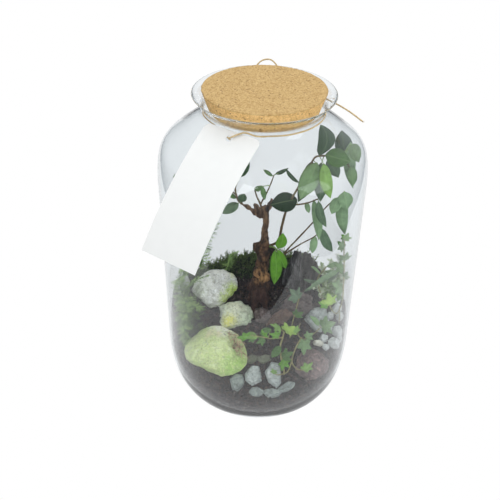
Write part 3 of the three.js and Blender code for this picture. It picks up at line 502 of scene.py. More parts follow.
def light_table():
    """The studio's white light table, which glows evenly and takes no shadow. It is no piece."""
    bm = bmesh.new()
    bmesh.ops.create_grid(bm, x_segments=1, y_segments=1, size=1)
    left, right, front_half = TABLE_FRONT
    behind, back_half = TABLE_BACK
    for v in bm.verts:
        side = (v.co.x + 1) / 2
        if v.co.y > 0:
            v.co = (mix(-back_half, back_half, side), behind, 0)
        else:
            v.co = (mix(-front_half, front_half, side), mix(left, right, side), 0)
    mesh = mesh_of(bm, "floor")
    mesh.transform(Matrix.Scale(MM, 4))
    f = Finish("light_table")
    f.shows(f.node("Emission", {"Color": (1, 1, 1, 1), "Strength": 1.0}))
    mesh.materials.append(f.material)
    floor = bpy.data.objects.new("floor", mesh)
    floor.location.z = -TABLE_DROP * MM
    bpy.context.scene.collection.objects.link(floor)


def white_room(strength):
    """The light of the room round the table."""
    world = bpy.data.worlds.new("white_studio")
    world.use_nodes = True
    nodes = world.node_tree.nodes
    around = nodes.new("ShaderNodeTexCoord")
    parts = nodes.new("ShaderNodeSeparateXYZ")
    level = nodes.new("ShaderNodeMapRange")
    shade = nodes.new("ShaderNodeValToRGB")
    back = nodes["Background"]
    level.inputs["From Min"].default_value, level.inputs["From Max"].default_value = SKY_LEVELS
    back.inputs["Strength"].default_value = strength
    for element, colour in zip(shade.color_ramp.elements, SKY_COLOURS):
        element.color = colour
    link = world.node_tree.links.new
    link(around.outputs["Generated"], parts.inputs[0])
    link(parts.outputs["Z"], level.inputs["Value"])
    link(level.outputs["Result"], shade.inputs["Fac"])
    link(shade.outputs["Color"], back.inputs["Color"])
    return world


def softbox(name, at, towards, size, power, colour=(1, 1, 1)):
    """A large soft lamp."""
    light = bpy.data.lights.new(name, "AREA")
    light.shape = "RECTANGLE"
    light.size, light.size_y = size
    light.energy = power
    light.color = colour
    lamp = bpy.data.objects.new(name, light)
    lamp.location = at
    lamp.rotation_euler = (Vector(towards) - Vector(at)).to_track_quat("-Z", "Y").to_euler()
    bpy.context.scene.collection.objects.link(lamp)
    return lamp


def lamp_power(name, description, default):
    """The setting of a lamp's power."""
    return FloatProperty(name=name, description=description, default=default, min=0, unit="POWER")


class TERRARIUM_PG_stage(PropertyGroup):
    """The studio's light."""

    sky: FloatProperty(name="Sky", description="Brightness of the room round the table", default=0.85, min=0)
    key: lamp_power("Key light", "Power of the main softbox", 4.5)
    fill: lamp_power("Fill light", "Power of the softbox opposite", 2.5)
    top: lamp_power("Top light", "Power of the softbox overhead", 4.0)
    low: lamp_power("Low light", "Power of the lamp under the front edge", 6.0)


class TERRARIUM_OT_stage(Operator):
    """Sets the camera, the white floor and the soft studio lights"""

    bl_idname = "terrarium.stage"
    bl_label = "Stage"

    def execute(self, context):
        settings = context.scene.terrarium_stage
        camera = bpy.data.objects.new("camera", bpy.data.cameras.new("camera"))
        camera.data.lens = LENS
        camera.data.sensor_width = SENSOR
        camera.data.clip_start = 0.01
        look = Matrix.Rotation(LOOK_ASIDE, 4, "Z") @ Matrix.Rotation(math.pi / 2 - LOOK_DOWN, 4, "X")
        turn = look @ Matrix.Rotation(LEAN, 4, "Z")
        camera.matrix_world = Matrix.Translation(Vector(CAMERA_AT) * MM) @ turn
        context.scene.collection.objects.link(camera)
        context.scene.camera = camera
        context.scene.world = white_room(settings.sky)
        context.scene.view_settings.view_transform = "Standard"
        light_table()

        middle = (0, 0, 0.12)
        high = (0, 0, 0.25)
        softbox("key_light", (-0.55, -0.75, 1.15), middle, (0.7, 0.9), settings.key)
        softbox("fill_light", (0.9, -0.5, 0.75), middle, (0.5, 0.9), settings.fill, (0.95, 0.97, 1))
        softbox("top_light", (0.1, 0.35, 1.3), middle, (0.9, 0.7), settings.top)
        low = softbox("low_light", (0.4, -0.95, -0.25), high, (0.8, 0.4), settings.low)
        low.visible_glossy = False
        low.visible_transmission = False
        return {"FINISHED"}


# The jar and what closes and labels it

# The slope from the shoulder up to the neck, as (radius, height)
SLOPE = [(79, 258), (73, 262.8), (62, 271.6), (52, 279), (48.9, 281.2), (47.2, 282.8)]


def jar_outline():
    """The jar's outer outline as (radius, height), from under the axis up to the neck."""
    outline = [(0, 0)]
    for k in range(25):
        a = math.pi / 2 * k / 24
        outline.append((mix(FOOT_R, JAR_R, math.sin(a)), BASE_CURVE_H * (1 - math.cos(a))))
    r, h = SHOULDER
    for k in range(15):
        a = math.radians(76) * k / 14
        outline.append((JAR_R - r + r * math.cos(a), WALL_TOP + h * math.sin(a)))
    slope = along([(r, 0, z) for r, z in SLOPE], 22)
    outline += [(p.x, p.z) for p in slope[1:]]
    for k in range(13):
        outline.append((mix(NECK[0], RIM[0], (k / 12) ** 1.25), mix(NECK[1], RIM[1], k / 12)))
    reach = [0.0]
    for (r0, z0), (r1, z1) in zip(outline, outline[1:]):
        reach.append(reach[-1] + math.hypot(r1 - r0, z1 - z0))
    steps = np.linspace(FOOT_R, reach[-1], 160)
    radii = np.interp(steps, reach, [r for r, _ in outline])
    heights = np.interp(steps, reach, [z for _, z in outline])
    for _ in range(8):
        radii[1:-1] = (radii[:-2] + 2 * radii[1:-1] + radii[2:]) / 4
        heights[1:-1] = (heights[:-2] + 2 * heights[1:-1] + heights[2:]) / 4
    return [(0, 0), (FOOT_R / 2, 0), *zip(radii.tolist(), heights.tolist())]


def jar_wall():
    """The outer outline, and the inner one a wall further in, thicker in the floor."""
    outer = jar_outline()
    inner = []
    for i, (r, z) in enumerate(outer):
        r0, z0 = outer[max(i - 1, 0)]
        r1, z1 = outer[min(i + 1, len(outer) - 1)]
        thick = mix(FOOT_FLOOR, WALL, smooth(2, 30, z))
        thick = mix(thick, RIM_WALL, smooth(NECK[1] - 20, RIM[1] - 4, z))
        size = math.hypot(r1 - r0, z1 - z0)
        if i < 3:
            inner.append((r, thick))
        else:
            inner.append((r - (z1 - z0) / size * thick, z - (r0 - r1) / size * thick))
    return outer, inner


OUTER, INNER = jar_wall()


def room(z):
    """The jar's inner radius at a height."""
    for (r0, z0), (r1, z1) in zip(INNER[1:], INNER[2:]):
        if z <= z1:
            return mix(r0, r1, (z - z0) / (z1 - z0))
    return INNER[-1][0]


def hue(name, description, default):
    """The setting of a colour."""
    return FloatVectorProperty(
        name=name, description=description, default=default, subtype="COLOR", min=0, max=1
    )


class TERRARIUM_PG_jar(PropertyGroup):
    """The glass, the cork and the tag."""

    tint: hue("Glass", "What the glass passes", (0.94, 0.953, 0.96))
    cork: hue("Cork", "The cork's colour", (0.53, 0.36, 0.15))
    card: hue("Card", "The tag's colour", (0.785, 0.785, 0.77))


class TERRARIUM_OT_jar(Operator):
    """Blows the glass jar with its flared rim"""

    bl_idname = "terrarium.jar"
    bl_label = "Jar"

    def execute(self, context):
        settings = context.scene.terrarium_jar
        below, outer, inner = (Vector(p) for p in (OUTER[-2], OUTER[-1], INNER[-1]))
        middle = (outer + inner) / 2
        up = (outer - below).normalized() * (outer - middle).length
        lip = [middle + (outer - middle) * math.cos(a) + up * math.sin(a) for a in (0.5, 1.0, 1.57, 2.1, 2.7)]
        shape = turned(OUTER + [tuple(p) for p in lip] + INNER[::-1])
        piece(shape, "glass_jar", glass_finish(settings.tint), "jar")
        return {"FINISHED"}


class TERRARIUM_OT_cork(Operator):
    """Presses the cork stopper, with grains broken out of its edge"""

    bl_idname = "terrarium.cork"
    bl_label = "Cork"

    def execute(self, context):
        settings = context.scene.terrarium_jar
        top_r, low_r = CORK_R
        profile = [(low_r * k / 12, CORK_BOTTOM) for k in range(12)]
        profile += [(low_r - 0.5, CORK_BOTTOM), (low_r, CORK_BOTTOM + 0.6)]
        rise = [k / 14 for k in range(1, 14)]
        profile += [(mix(low_r, top_r, t), mix(CORK_BOTTOM, CORK_TOP, t)) for t in rise]
        profile += [(top_r - 0.1, CORK_TOP - 0.6), (top_r - 0.7, CORK_TOP - 0.1)]
        profile += [((top_r - 0.9) * k / 40, CORK_TOP - 0.1) for k in range(40, -1, -1)]
        shape = turned(profile, 180)

        def edge(p):
            return 0.35 + 0.65 * smooth(top_r - 2.5, top_r - 0.5, math.hypot(p.x, p.y))

        roughen(shape, -0.35, 1.6, 3, 3, where=edge)
        for v in shape.verts:
            v.co.z = min(v.co.z, CORK_TOP)
        piece(shape, "cork_stopper", cork_finish(settings.cork), "cork")
        return {"FINISHED"}


TIE_R = 48.6
TIE_Z = 283.3


def tie(degrees):
    """A point of the thread on the neck."""
    a = math.radians(degrees)
    return (TIE_R * math.cos(a), TIE_R * math.sin(a), TIE_Z)


ROUND_NECK = [tie(-92 + 24 * i) for i in range(13)]
THROUGH_CARD = [
    tie(-88), tie(-96), (-11.8, -47.4, 285.1), (-15.7, -48.6, 285.6), (-21.2, -49.6, 283.7),
    (-25, -48.4, 281.2), (-24.5, -47.2, 279.7), (-27.5, -44, 280.55), (-30.5, -40.3, 281.4),
    (-35.5, -33.2, 283.2), tie(-158), tie(-168),
]
LOOP = [
    (0, 48, 283), (-7, 55, 286), (-8, 61.5, 293), (-4, 64.5, 298), (2, 65.5, 299.6),
    (7, 64.5, 298), (11, 60.5, 293), (9, 54, 286), (3, 48.5, 283.4),
]
TAIL = [
    (5, 49.5, 284), (22, 45, 284.4), (36, 35.6, 284.6), (46, 25.6, 284.4), (53, 18.4, 283.6),
    (59.6, 11.6, 283), (68, 2, 281.6), (76.5, -10.5, 279.8),
]


KNOT = [
    (0.5, 48, 283), (2, 50.5, 282.4), (4.6, 50.4, 284.2), (3.4, 48.6, 285.4), (1, 50, 284.4), (3, 51, 283),
]

# The thread's three plies: how far apart their points lie, how far they run in one turn, how far they
# lie from the thread's middle, their radius, and the share of their points that have a loose fibre
PLY_STEP = 0.7
PLY_TURN = 4.2
PLY_OFF = 0.36
PLY_R = 0.37
HAIR_SHARE = 0.16


def plies(points, draw):
    """The routes of three plies twisted round one another along the points, and of their loose fibres."""
    length = sum((Vector(b) - Vector(a)).length for a, b in zip(points, points[1:]))
    steps = int(length / PLY_STEP)
    path = along(points, steps)
    routes = []
    hairs = []
    for ply in range(3):
        strand = []
        sizes = []
        for k, p in enumerate(path):
            way = (path[min(k + 1, steps)] - path[max(k - 1, 0)]).normalized()
            side = way.cross(Vector((0, 0, 1)) if abs(way.z) < 0.95 else Vector((1, 0, 0))).normalized()
            up = side.cross(way)
            a = math.tau * (k * PLY_STEP / PLY_TURN + ply / 3)
            out = side * math.cos(a) + up * math.sin(a)
            strand.append(p + out * PLY_OFF)
            sizes.append(PLY_R * (1 + 0.18 * noise.noise(p * 0.9 + Vector((ply * 9, 0, 0)))))
            if draw.random() < HAIR_SHARE:
                end = strand[-1] + (out + way * draw.uniform(-1.6, 1.6)) * draw.uniform(0.4, 1.3)
                hairs.append(([strand[-1], strand[-1].lerp(end, 0.5) + up * 0.15, end], [0.045, 0.04, 0.02]))
        routes.append((strand, sizes))
    return routes, hairs


class TERRARIUM_OT_twine(Operator):
    """Ties the jute thread round the neck, through the card, with its loop and loose end behind"""

    bl_idname = "terrarium.twine"
    bl_label = "Twine"

    def execute(self, context):
        draw = random.Random(11)
        routes = []
        hairs = []
        for points in (ROUND_NECK, THROUGH_CARD, LOOP, TAIL, KNOT):
            plied, loose = plies(points, draw)
            routes += plied
            hairs += loose
        end = Vector(TAIL[-1])
        for _ in range(14):
            way = Vector((0.62, -0.76, -0.1)) + Vector(draw.uniform(-0.5, 0.5) for _ in range(3))
            hairs.append(([end, end + way * 1.2, end + way * draw.uniform(1.6, 2.6)], [0.09, 0.07, 0.03]))
        shape = tubes(routes, 1)
        absorb(shape, tubes(hairs, 0))
        piece(shape, "jute_twine", jute_finish(), "twine")
        return {"FINISHED"}


# The tag: where its hole is, which way it lies across, down and out, its size, how thick it is and how
# far it bows, how far its hole is from its edge, and the radii of the hole and of its upper corners
TAG_HOLE = Vector((-25, -48, 280.7))
TAG_ACROSS = Vector((0.839, -0.544, -0.019)).normalized()
TAG_DOWN = Vector((-0.414, -0.615, -0.671)).normalized()
TAG_OUT = TAG_DOWN.cross(TAG_ACROSS).normalized()
TAG_SIZE = (50, 108)
TAG_THICK = 0.5
TAG_BOW = 5.4
HOLE_INSET = 6.5
HOLE_R = 2.7
CORNER_R = 5


class TERRARIUM_OT_tag(Operator):
    """Cuts the blank card, punches its hole and bows it out from the jar"""

    bl_idname = "terrarium.tag"
    bl_label = "Tag"

    def execute(self, context):
        settings = context.scene.terrarium_jar
        width, length = TAG_SIZE
        half = width / 2
        curve = bpy.data.curves.new("card", "CURVE")
        curve.dimensions = "2D"
        curve.fill_mode = "BOTH"
        arc = [math.pi / 2 * k / 8 for k in range(9)]
        edge = [(half - CORNER_R + CORNER_R * math.sin(a), CORNER_R - CORNER_R * math.cos(a)) for a in arc]
        edge += [(half, length), (-half, length)]
        edge += [(-half + CORNER_R - CORNER_R * math.cos(a), CORNER_R - CORNER_R * math.sin(a)) for a in arc]
        circle = [math.tau * k / 40 for k in range(40)]
        ring = [(HOLE_R * math.cos(a), HOLE_INSET + HOLE_R * math.sin(a)) for a in circle]
        for outline in (edge, ring):
            spline = curve.splines.new("POLY")
            spline.points.add(len(outline) - 1)
            spline.use_cyclic_u = True
            for at, (x, y) in zip(spline.points, outline):
                at.co = (x, y, 0, 1)
        bm = bmesh_of(evaluated(curve))
        bpy.data.curves.remove(curve)
        cuts = [((0, 2 * k, 0), (0, 1, 0)) for k in range(1, 54)]
        cuts += [((5 * k, 0, 0), (1, 0, 0)) for k in range(-4, 5)]
        for at, facing in cuts:
            geometry = bm.verts[:] + bm.edges[:] + bm.faces[:]
            bmesh.ops.bisect_plane(bm, geom=geometry, plane_co=at, plane_no=facing)
        bmesh.ops.remove_doubles(bm, verts=bm.verts, dist=0.01)
        bmesh.ops.solidify(bm, geom=bm.faces[:], thickness=TAG_THICK)
        bmesh.ops.recalc_face_normals(bm, faces=bm.faces)

        def rise(v):
            return 4 * TAG_BOW * (v / length) * (1 - v / length)

        for v in bm.verts:
            x, y, w = v.co
            w += TAG_THICK / 2 + rise(y) - rise(HOLE_INSET)
            v.co = TAG_HOLE + TAG_ACROSS * x + TAG_DOWN * (y - HOLE_INSET) + TAG_OUT * w
        bmesh.ops.recalc_face_normals(bm, faces=bm.faces)
        piece(bm, "blank_tag", card_finish(settings.card), "tag", shade_smooth=False)
        return {"FINISHED"}


# The ground and the stones


def ground(x, y):
    """The height of the soil: low in front, banked up behind the tree and falling to the back wall."""
    bank = 36 + 68 * smooth(-90, 44, y) - 30 * smooth(38, 90, y)
    to_right = 12 * smooth(20, 84, x) * smooth(-70, 20, -y) + 20 * smooth(46, 70, x) * smooth(2, 30, y)
    to_left = 7 * smooth(30, 84, -x) + 14 * smooth(4, 60, -x) * smooth(10, 44, y)
    ripple = 1.1 * math.sin(x / 9 + 1) * math.cos(y / 11) + 0.6 * math.sin(x / 4 + y / 5)
    return bank - to_right - to_left + ripple


# The soil: how high it starts, how far out its surface is measured, its rows of points on the surface
# and down the wall, and its number of crumbs
SOIL_LOW = FOOT_FLOOR + GAP
SOIL_R = 84
SKIN_ROWS = 84
WALL_ROWS = 26
CRUMBS = 4600


def soil_bed():
    """The soil, up against the glass, with its lumpy surface."""
    shape = turned([(1, k) for k in range(WALL_ROWS + SKIN_ROWS + 1)], 216)
    for v in shape.verts:
        row = round(v.co.z)
        east, north = v.co.x, v.co.y
        size = math.hypot(east, north)
        east, north = east / size, north / size
        top = ground(SOIL_R * east, SOIL_R * north)
        if row <= WALL_ROWS:
            z = mix(SOIL_LOW, top, row / WALL_ROWS)
            r = room(z) - GAP
            lump = 0.25 * noise.noise(Vector((east * 30, north * 30, z / 3))) - 0.25
            r += lump * smooth(2, 12, z - SOIL_LOW)
        else:
            r = (room(top) - GAP - 0.5) * (1 - (row - WALL_ROWS) / SKIN_ROWS)
            x, y = r * east, r * north
            at = Vector((x, y, 0))
            z = ground(x, y) + 1.0 * noise.fractal(at / 5, 0.7, 2.1, 4) + 0.5 * noise.noise(at / 1.6)
        v.co = (r * east, r * north, z)
    bmesh.ops.remove_doubles(shape, verts=shape.verts, dist=0.001)
    bmesh.ops.holes_fill(shape, edges=shape.edges, sides=0)
    bmesh.ops.recalc_face_normals(shape, faces=shape.faces)
    return shape


def soil_crumbs():
    """Crumbs of soil strewn over it."""
    draw = random.Random(5)
    crumb = bmesh.new()
    bmesh.ops.create_icosphere(crumb, subdivisions=1, radius=1)
    roughen(crumb, 0.5, 0.9, 2, 2)
    places = []
    tones = []
    for _ in range(CRUMBS):
        r = (SOIL_R - 1.5) * math.sqrt(draw.random())
        a = math.tau * draw.random()
        x, y = r * math.cos(a), r * math.sin(a)
        size = mix(0.5, 2.3, draw.random() ** 3)
        turn = Euler([math.tau * draw.random() for _ in range(3)]).to_matrix().to_4x4()
        shape = Matrix.Diagonal((size, size * draw.uniform(0.5, 1), size * draw.uniform(0.5, 1), 1))
        places.append(Matrix.Translation((x, y, ground(x, y) + size * 0.45)) @ turn @ shape)
        tones.append(draw.random())
    return repeated(crumb, places, tones)


class TERRARIUM_OT_soil(Operator):
    """Fills the jar with soil, and strews crumbs over it"""

    bl_idname = "terrarium.soil"
    bl_label = "Soil"

    def execute(self, context):
        finish = soil_finish()
        piece(soil_bed(), "soil_bed", finish, "soil")
        piece(soil_crumbs(), "soil_crumbs", finish, None)
        return {"FINISHED"}


# Round stones: middle, half sizes, turn in degrees, bulges as a way and an amount, swelling and roughness
BOULDERS = {
    "boulder_lime": (
        (-38.5, -47, 62), (27, 23.5, 18.5), (14, -6, -12),
        [(-1, -0.3, -0.1, 0.12), (0.7, -0.2, -0.4, 0.18), (-0.3, -1, 0, -0.08), (0, 0.5, 0.8, 0.08)],
        1.0, 0.5,
    ),
    "boulder_pale": (
        (-23.4, -14.2, 79.5), (16, 11, 13), (10, 14, 14),
        [(1, -0.5, -0.5, 0.34), (-0.6, 0, 0.6, 0.1), (0.4, -0.6, 0.8, 0.1), (-0.2, -1, -0.6, 0.16)], 2.2, 1.0,
    ),
    "boulder_grey": (
        (-43, 6, 93), (19, 17, 21), (0, 38, 10),
        [(0.7, 0, 0.8, 0.14), (-0.6, -0.3, -0.8, 0.14), (0.8, -0.2, -0.5, 0.06)], 1.6, 1.2,
    ),
    "boulder_small": ((-74, 7, 95), (6, 7, 14), (0, 8, 0), [], 0.8, 0.6),
    "pebble_brown": ((50, -44, 44), (16.6, 15.6, 16), (0, 0, 30), [(-0.6, -0.4, 0.7, 0.05)], 1.6, 0.8),
    "rock_root": ((3, -14, 77.5), (8.5, 7.5, 10), (20, 0, 0), [], 1.2, 1.8),
}

# Flats worn into the round stones: which way each faces, and how far from the middle it lies
FLATS = {
    "boulder_lime": [
        ((-0.56, 0.1, 0.82), 17.5), ((-0.4, -0.79, -0.48), 18.5), ((0.1, -0.67, 0.73), 18.5),
        ((0.75, -0.12, 0.65), 20),
    ],
    "boulder_pale": [
        ((-0.85, -0.35, 0.3), 12.5), ((-0.2, -0.8, 0.5), 11), ((0.55, -0.3, 0.75), 13),
        ((-0.5, 0.1, 0.85), 12),
    ],
    "boulder_grey": [
        ((0.74, -0.42, -0.5), 15), ((-0.2, -0.75, 0.62), 16.5), ((0.62, -0.5, 0.6), 17),
        ((-0.7, -0.2, 0.68), 18), ((-0.65, -0.55, -0.5), 16.5),
    ],
    "pebble_brown": [((0.2, -0.7, 0.7), 15), ((-0.75, -0.4, 0.5), 15), ((0.6, -0.1, 0.8), 15)],
}

# Broken stones: middle, half sizes, turn in degrees, number of corners, seed, roughness and finish.
# The loose ones aren't in the solid model
CHIPS = {
    "rock_brown": ((36, -6, 85), (17, 12, 14), (24, 8, 10), 7, 3, 2.4, "brown_stone"),
    "rock_wedge": ((19, -20, 80), (12, 6, 13), (20, 30, 10), 4, 12, 1.4, "red_stone"),
    "slate_right": ((56, -14, 75.5), (15, 15, 5), (38, -6, 26), 7, 6, 0.7, "slate"),
    "chip_1": ((-17.5, -67, 42.3), (8, 10.5, 3.2), (27, 0, 0), 7, 2, 0.35, "dull_slate"),
    "chip_2": ((-3, -61, 46.4), (9.5, 12, 3.6), (27, 0, 0), 7, 5, 0.35, "slate"),
    "chip_3": ((0.5, -75.2, 39.6), (10.5, 6.4, 2.6), (27, 0, 0), 6, 8, 0.3, "dull_slate"),
    "chip_4": ((15.5, -60, 47.4), (9, 14, 4), (27, 0, 0), 7, 11, 0.35, "slate"),
    "chip_5": ((15, -75.8, 39.2), (9.6, 5.8, 2.4), (24, 0, 8), 6, 4, 0.3, "dull_slate"),
    "chip_6": ((27.5, -70.3, 42), (12, 6, 2.4), (24, 0, 26), 6, 7, 0.3, "dull_slate"),
    "gravel_1": ((75.5, 0, 75.5), (7, 7.5, 6.5), (10, 20, 0), 5, 21, 0.4, "gravel"),
    "gravel_2": ((75.5, -21, 67), (5.8, 6, 5.8), (20, 0, 40), 5, 22, 0.4, "gravel"),
    "gravel_3": ((72, -31, 61), (6.2, 6, 5.8), (10, -20, 0), 5, 24, 0.4, "gravel"),
    "gravel_4": ((62.5, -26.5, 62.4), (6.2, 5, 4.8), (30, 10, 20), 5, 25, 0.4, "gravel"),
    "gravel_5": ((57, -33.5, 62.8), (7.4, 3.8, 3.2), (20, 14, -10), 5, 26, 0.3, "cream"),
    "chip_7": ((-5.5, -47.5, 52.6), (9.5, 5.6, 2), (27, 0, 20), 6, 13, 0.35, "green_slate"),
    "chip_8": ((6, -46.5, 53), (8, 5.4, 2), (27, 0, 16), 6, 15, 0.35, "green_slate"),
    "loose_1": ((76.5, 9, 81), (6.2, 6, 5), (14, -20, 0), 5, 31, 0.4, "gravel"),
    "loose_2": ((78.5, -7.5, 73.5), (4.8, 5.2, 4.4), (20, 10, 30), 5, 32, 0.4, "gravel"),
    "loose_3": ((69.5, -6, 72.5), (5.6, 5, 4.2), (30, 0, 10), 5, 33, 0.4, "gravel"),
    "loose_4": ((68.5, -17, 66.5), (5, 4.6, 4.2), (30, 0, 50), 5, 34, 0.4, "gravel"),
    "loose_5": ((77.5, -26, 61.5), (3.6, 3.8, 3.4), (20, 0, 20), 5, 35, 0.4, "gravel"),
    "loose_6": ((64, -35, 59.5), (4.4, 3.8, 3.2), (30, 0, 20), 5, 36, 0.4, "gravel"),
}

# How much of what stands out of a flat is worn away
FLAT_WEAR = 0.85


def chance(i, seed):
    """A steady random share from 0 to 1, the same one as in the solid model."""
    return (math.sin(i * 12.9898 + seed * 78.233) * 43758.5453) % 1


def turned_to(at, degrees):
    """The matrix that turns a stone about its middle and puts it in place."""
    return Matrix.Translation(at) @ Euler([math.radians(a) for a in degrees], "ZYX").to_matrix().to_4x4()


def press(bm, middle, facing, reach):
    """Wears a flat into a stone: what lies further out than this is brought nearly back to it."""
    for v in bm.verts:
        over = (v.co - middle).dot(facing) - reach
        if over > 0:
            v.co -= facing * over * FLAT_WEAR


def stone_finishes():
    """The finishes of the stones by name."""
    moss = (0.24, 0.33, 0.1)
    olive = (0.1, 0.1, 0.06)
    dark_moss = ((0.1, 0.14, 0.05), 7, 0.36)
    lime = [
        ((-19, -64, 60), 19, (0.3, 0.56, 0.08), 0.75),
        ((-50, -62, 56), 12, (0.4, 0.6, 0.12), 0.55),
        ((-33, -33, 80), 17, (0.94, 0.92, 0.84), 1.0),
        ((-44, -42, 80), 8, (0.7, 0.64, 0.4), 0.8),
        ((-36.5, -45, 81), 4.5, (0.66, 0.42, 0.3), 0.45),
        ((-34, -55, 76), 9, (0.7, 0.76, 0.42), 0.6),
    ]
    pale = [
        ((-22, -17, 92), 11, (0.84, 0.84, 0.62), 0.9),
        ((-9, -22, 76), 12, (0.62, 0.72, 0.5), 0.85),
        ((-37, -19, 82), 8, (0.46, 0.47, 0.48), 0.9),
        ((-27.5, -25, 80), 10, (0.78, 0.76, 0.2), 1.0),
        ((-16.7, -17.1, 91), 2.6, (0.3, 0.22, 0.12), 0.6),
        ((-12.8, -18.9, 86), 2.2, (0.26, 0.2, 0.12), 0.6),
    ]
    grey = [
        ((-56, -2, 96), 13, moss, 0.5),
        ((-45, -10, 82), 10, (0.5, 0.5, 0.36), 0.6),
        ((-25, -2, 97), 12, (0.46, 0.62, 0.07), 1.0),
        ((-31, -8, 92), 11, (0.52, 0.64, 0.14), 0.9),
        ((-27, 12, 108), 7, (0.56, 0.6, 0.24), 0.6),
    ]
    return {
        "boulder_lime": stone_finish(
            "lime_boulder", (0.56, 0.67, 0.27),
            [((0.42, 0.47, 0.32), 4, 0.45), ((0.74, 0.82, 0.48), 6, 0.46)],
            lime, roughness=0.6, pits=0.8, contrast=0.2, cracks=((0.34, 0.4, 0.2), 7, 0.5),
        ),
        "boulder_pale": stone_finish(
            "pale_boulder", (0.62, 0.67, 0.5), [((0.3, 0.33, 0.2), 4, 0.45), ((0.74, 0.74, 0.62), 5, 0.42)],
            pale, roughness=0.65, pits=1.6, contrast=0.28, cracks=(olive, 6, 0.45),
        ),
        "boulder_grey": stone_finish(
            "grey_boulder", (0.71, 0.7, 0.64), [((0.46, 0.46, 0.32), 4, 0.43), ((0.88, 0.88, 0.85), 5, 0.46)],
            grey, pits=1.8, contrast=0.22, cracks=(olive, 6.5, 0.4),
        ),
        "boulder_small": stone_finish("small_boulder", (0.4, 0.42, 0.38), [(moss, 7, 0.46)]),
        "pebble_brown": stone_finish(
            "red_pebble", (0.19, 0.13, 0.12), [((0.5, 0.33, 0.29), 4, 0.46), ((0.05, 0.04, 0.045), 5, 0.47)],
            roughness=0.6, pits=1.4, contrast=0.5, cracks=((0.04, 0.03, 0.03), 6, 0.7),
        ),
        "brown_stone": stone_finish(
            "brown_stone", (0.13, 0.1, 0.094), [((0.3, 0.24, 0.22), 5, 0.47), dark_moss],
            roughness=0.8, pits=1.8, contrast=0.45, cracks=((0.02, 0.014, 0.014), 7, 0.7),
        ),
        "red_stone": stone_finish(
            "red_stone", (0.16, 0.095, 0.072), [((0.3, 0.2, 0.16), 5, 0.46), dark_moss],
            roughness=0.65, pits=1.4, contrast=0.4, cracks=((0.04, 0.02, 0.02), 7, 0.6),
        ),
        "slate": stone_finish(
            "slate", (0.38, 0.41, 0.39), [((0.6, 0.62, 0.6), 7, 0.47), ((0.17, 0.2, 0.17), 4, 0.42)],
            roughness=0.6, pits=1.4, contrast=0.4, cracks=((0.08, 0.09, 0.08), 8, 0.5),
        ),
        "dull_slate": stone_finish(
            "dull_slate", (0.26, 0.29, 0.27), [((0.38, 0.42, 0.39), 7, 0.46), ((0.15, 0.18, 0.15), 4, 0.42)],
            roughness=0.6, pits=1.4, contrast=0.35, cracks=((0.06, 0.07, 0.06), 8, 0.5),
        ),
        "green_slate": stone_finish(
            "green_slate", (0.14, 0.15, 0.1), [((0.24, 0.26, 0.18), 5, 0.45)], pits=0.8, contrast=0.35
        ),
        "gravel": stone_finish(
            "gravel", (0.56, 0.58, 0.56), [((0.34, 0.37, 0.34), 5, 0.44)], roughness=0.6, pits=0.9
        ),
        "cream": stone_finish(
            "cream_pebble", (0.62, 0.6, 0.5), [((0.42, 0.38, 0.3), 5, 0.36)], roughness=0.55, pits=0.4
        ),
    }


def boulder(name, seed):
    """A round stone: a ball pulled out of shape, with flats worn into it."""
    at, half, turn, bulges, swell, rough = BOULDERS[name]
    bm = bmesh.new()
    bmesh.ops.create_icosphere(bm, subdivisions=6 if max(half) > 15 else 5, radius=1)
    pulls = [(Vector(way).normalized(), amount) for *way, amount in bulges]
    for v in bm.verts:
        way = v.co.normalized()
        k = 1 + sum(amount * max(0, way.dot(to)) ** 4 for to, amount in pulls)
        v.co = Vector(c * h * k for c, h in zip(way, half))
    bmesh.ops.transform(bm, matrix=turned_to(at, turn), verts=bm.verts)
    for facing, reach in FLATS.get(name, ()):
        press(bm, Vector(at), Vector(facing).normalized(), reach)
    roughen(bm, swell, 11, seed + 20, 2)
    roughen(bm, rough, 4, seed, 6)
    return bm


def chip(at, half, turn, sides, seed, rough):
    """A broken stone: a convex lump with so many sides, finely divided and roughened."""
    corners = []
    for i in range(sides):
        a = math.tau * (i + 0.55 * chance(i, seed)) / sides
        reach = 1.04 - 0.34 * chance(i + 50, seed)
        for level, share in ((-1, 0.8), (0, 1), (1, 0.78)):
            r = reach * share
            corners.append((math.cos(a) * r * half[0], math.sin(a) * r * half[1], level * half[2]))
    bm = hull(corners)
    bmesh.ops.bevel(bm, geom=bm.edges[:], offset=0.25, segments=1, profile=0.5, affect="EDGES", material=-1)
    bmesh.ops.triangulate(bm, faces=bm.faces[:])
    for _ in range(3 if max(half) < 12 else 4):
        long = [e for e in bm.edges if e.calc_length() > 0.9]
        bmesh.ops.subdivide_edges(bm, edges=long, cuts=1)
        bmesh.ops.triangulate(bm, faces=bm.faces[:])
    roughen(bm, rough, 5, seed, 5, (1, 1, 0.35))
    bmesh.ops.transform(bm, matrix=turned_to(at, turn), verts=bm.verts)
    return bm


class TERRARIUM_OT_stones(Operator):
    """Beds the boulders, rocks, gravel and slate chips in the soil"""

    bl_idname = "terrarium.stones"
    bl_label = "Stones"

    def execute(self, context):
        finishes = stone_finishes()
        for number, name in enumerate(BOULDERS):
            finish = finishes.get(name, finishes["brown_stone"])
            piece(boulder(name, number), name + "_stone", finish, name)
        for name, (*shape, finish) in CHIPS.items():
            piece(chip(*shape), name + "_stone", finishes[finish], name, shade_smooth=False)
        return {"FINISHED"}


# The wood

# The bark is painted darker to the right of its cleft: painted shade on the side that lies in shadow
CLEFT_X = 38.5
BURL = (2, -4, 119)


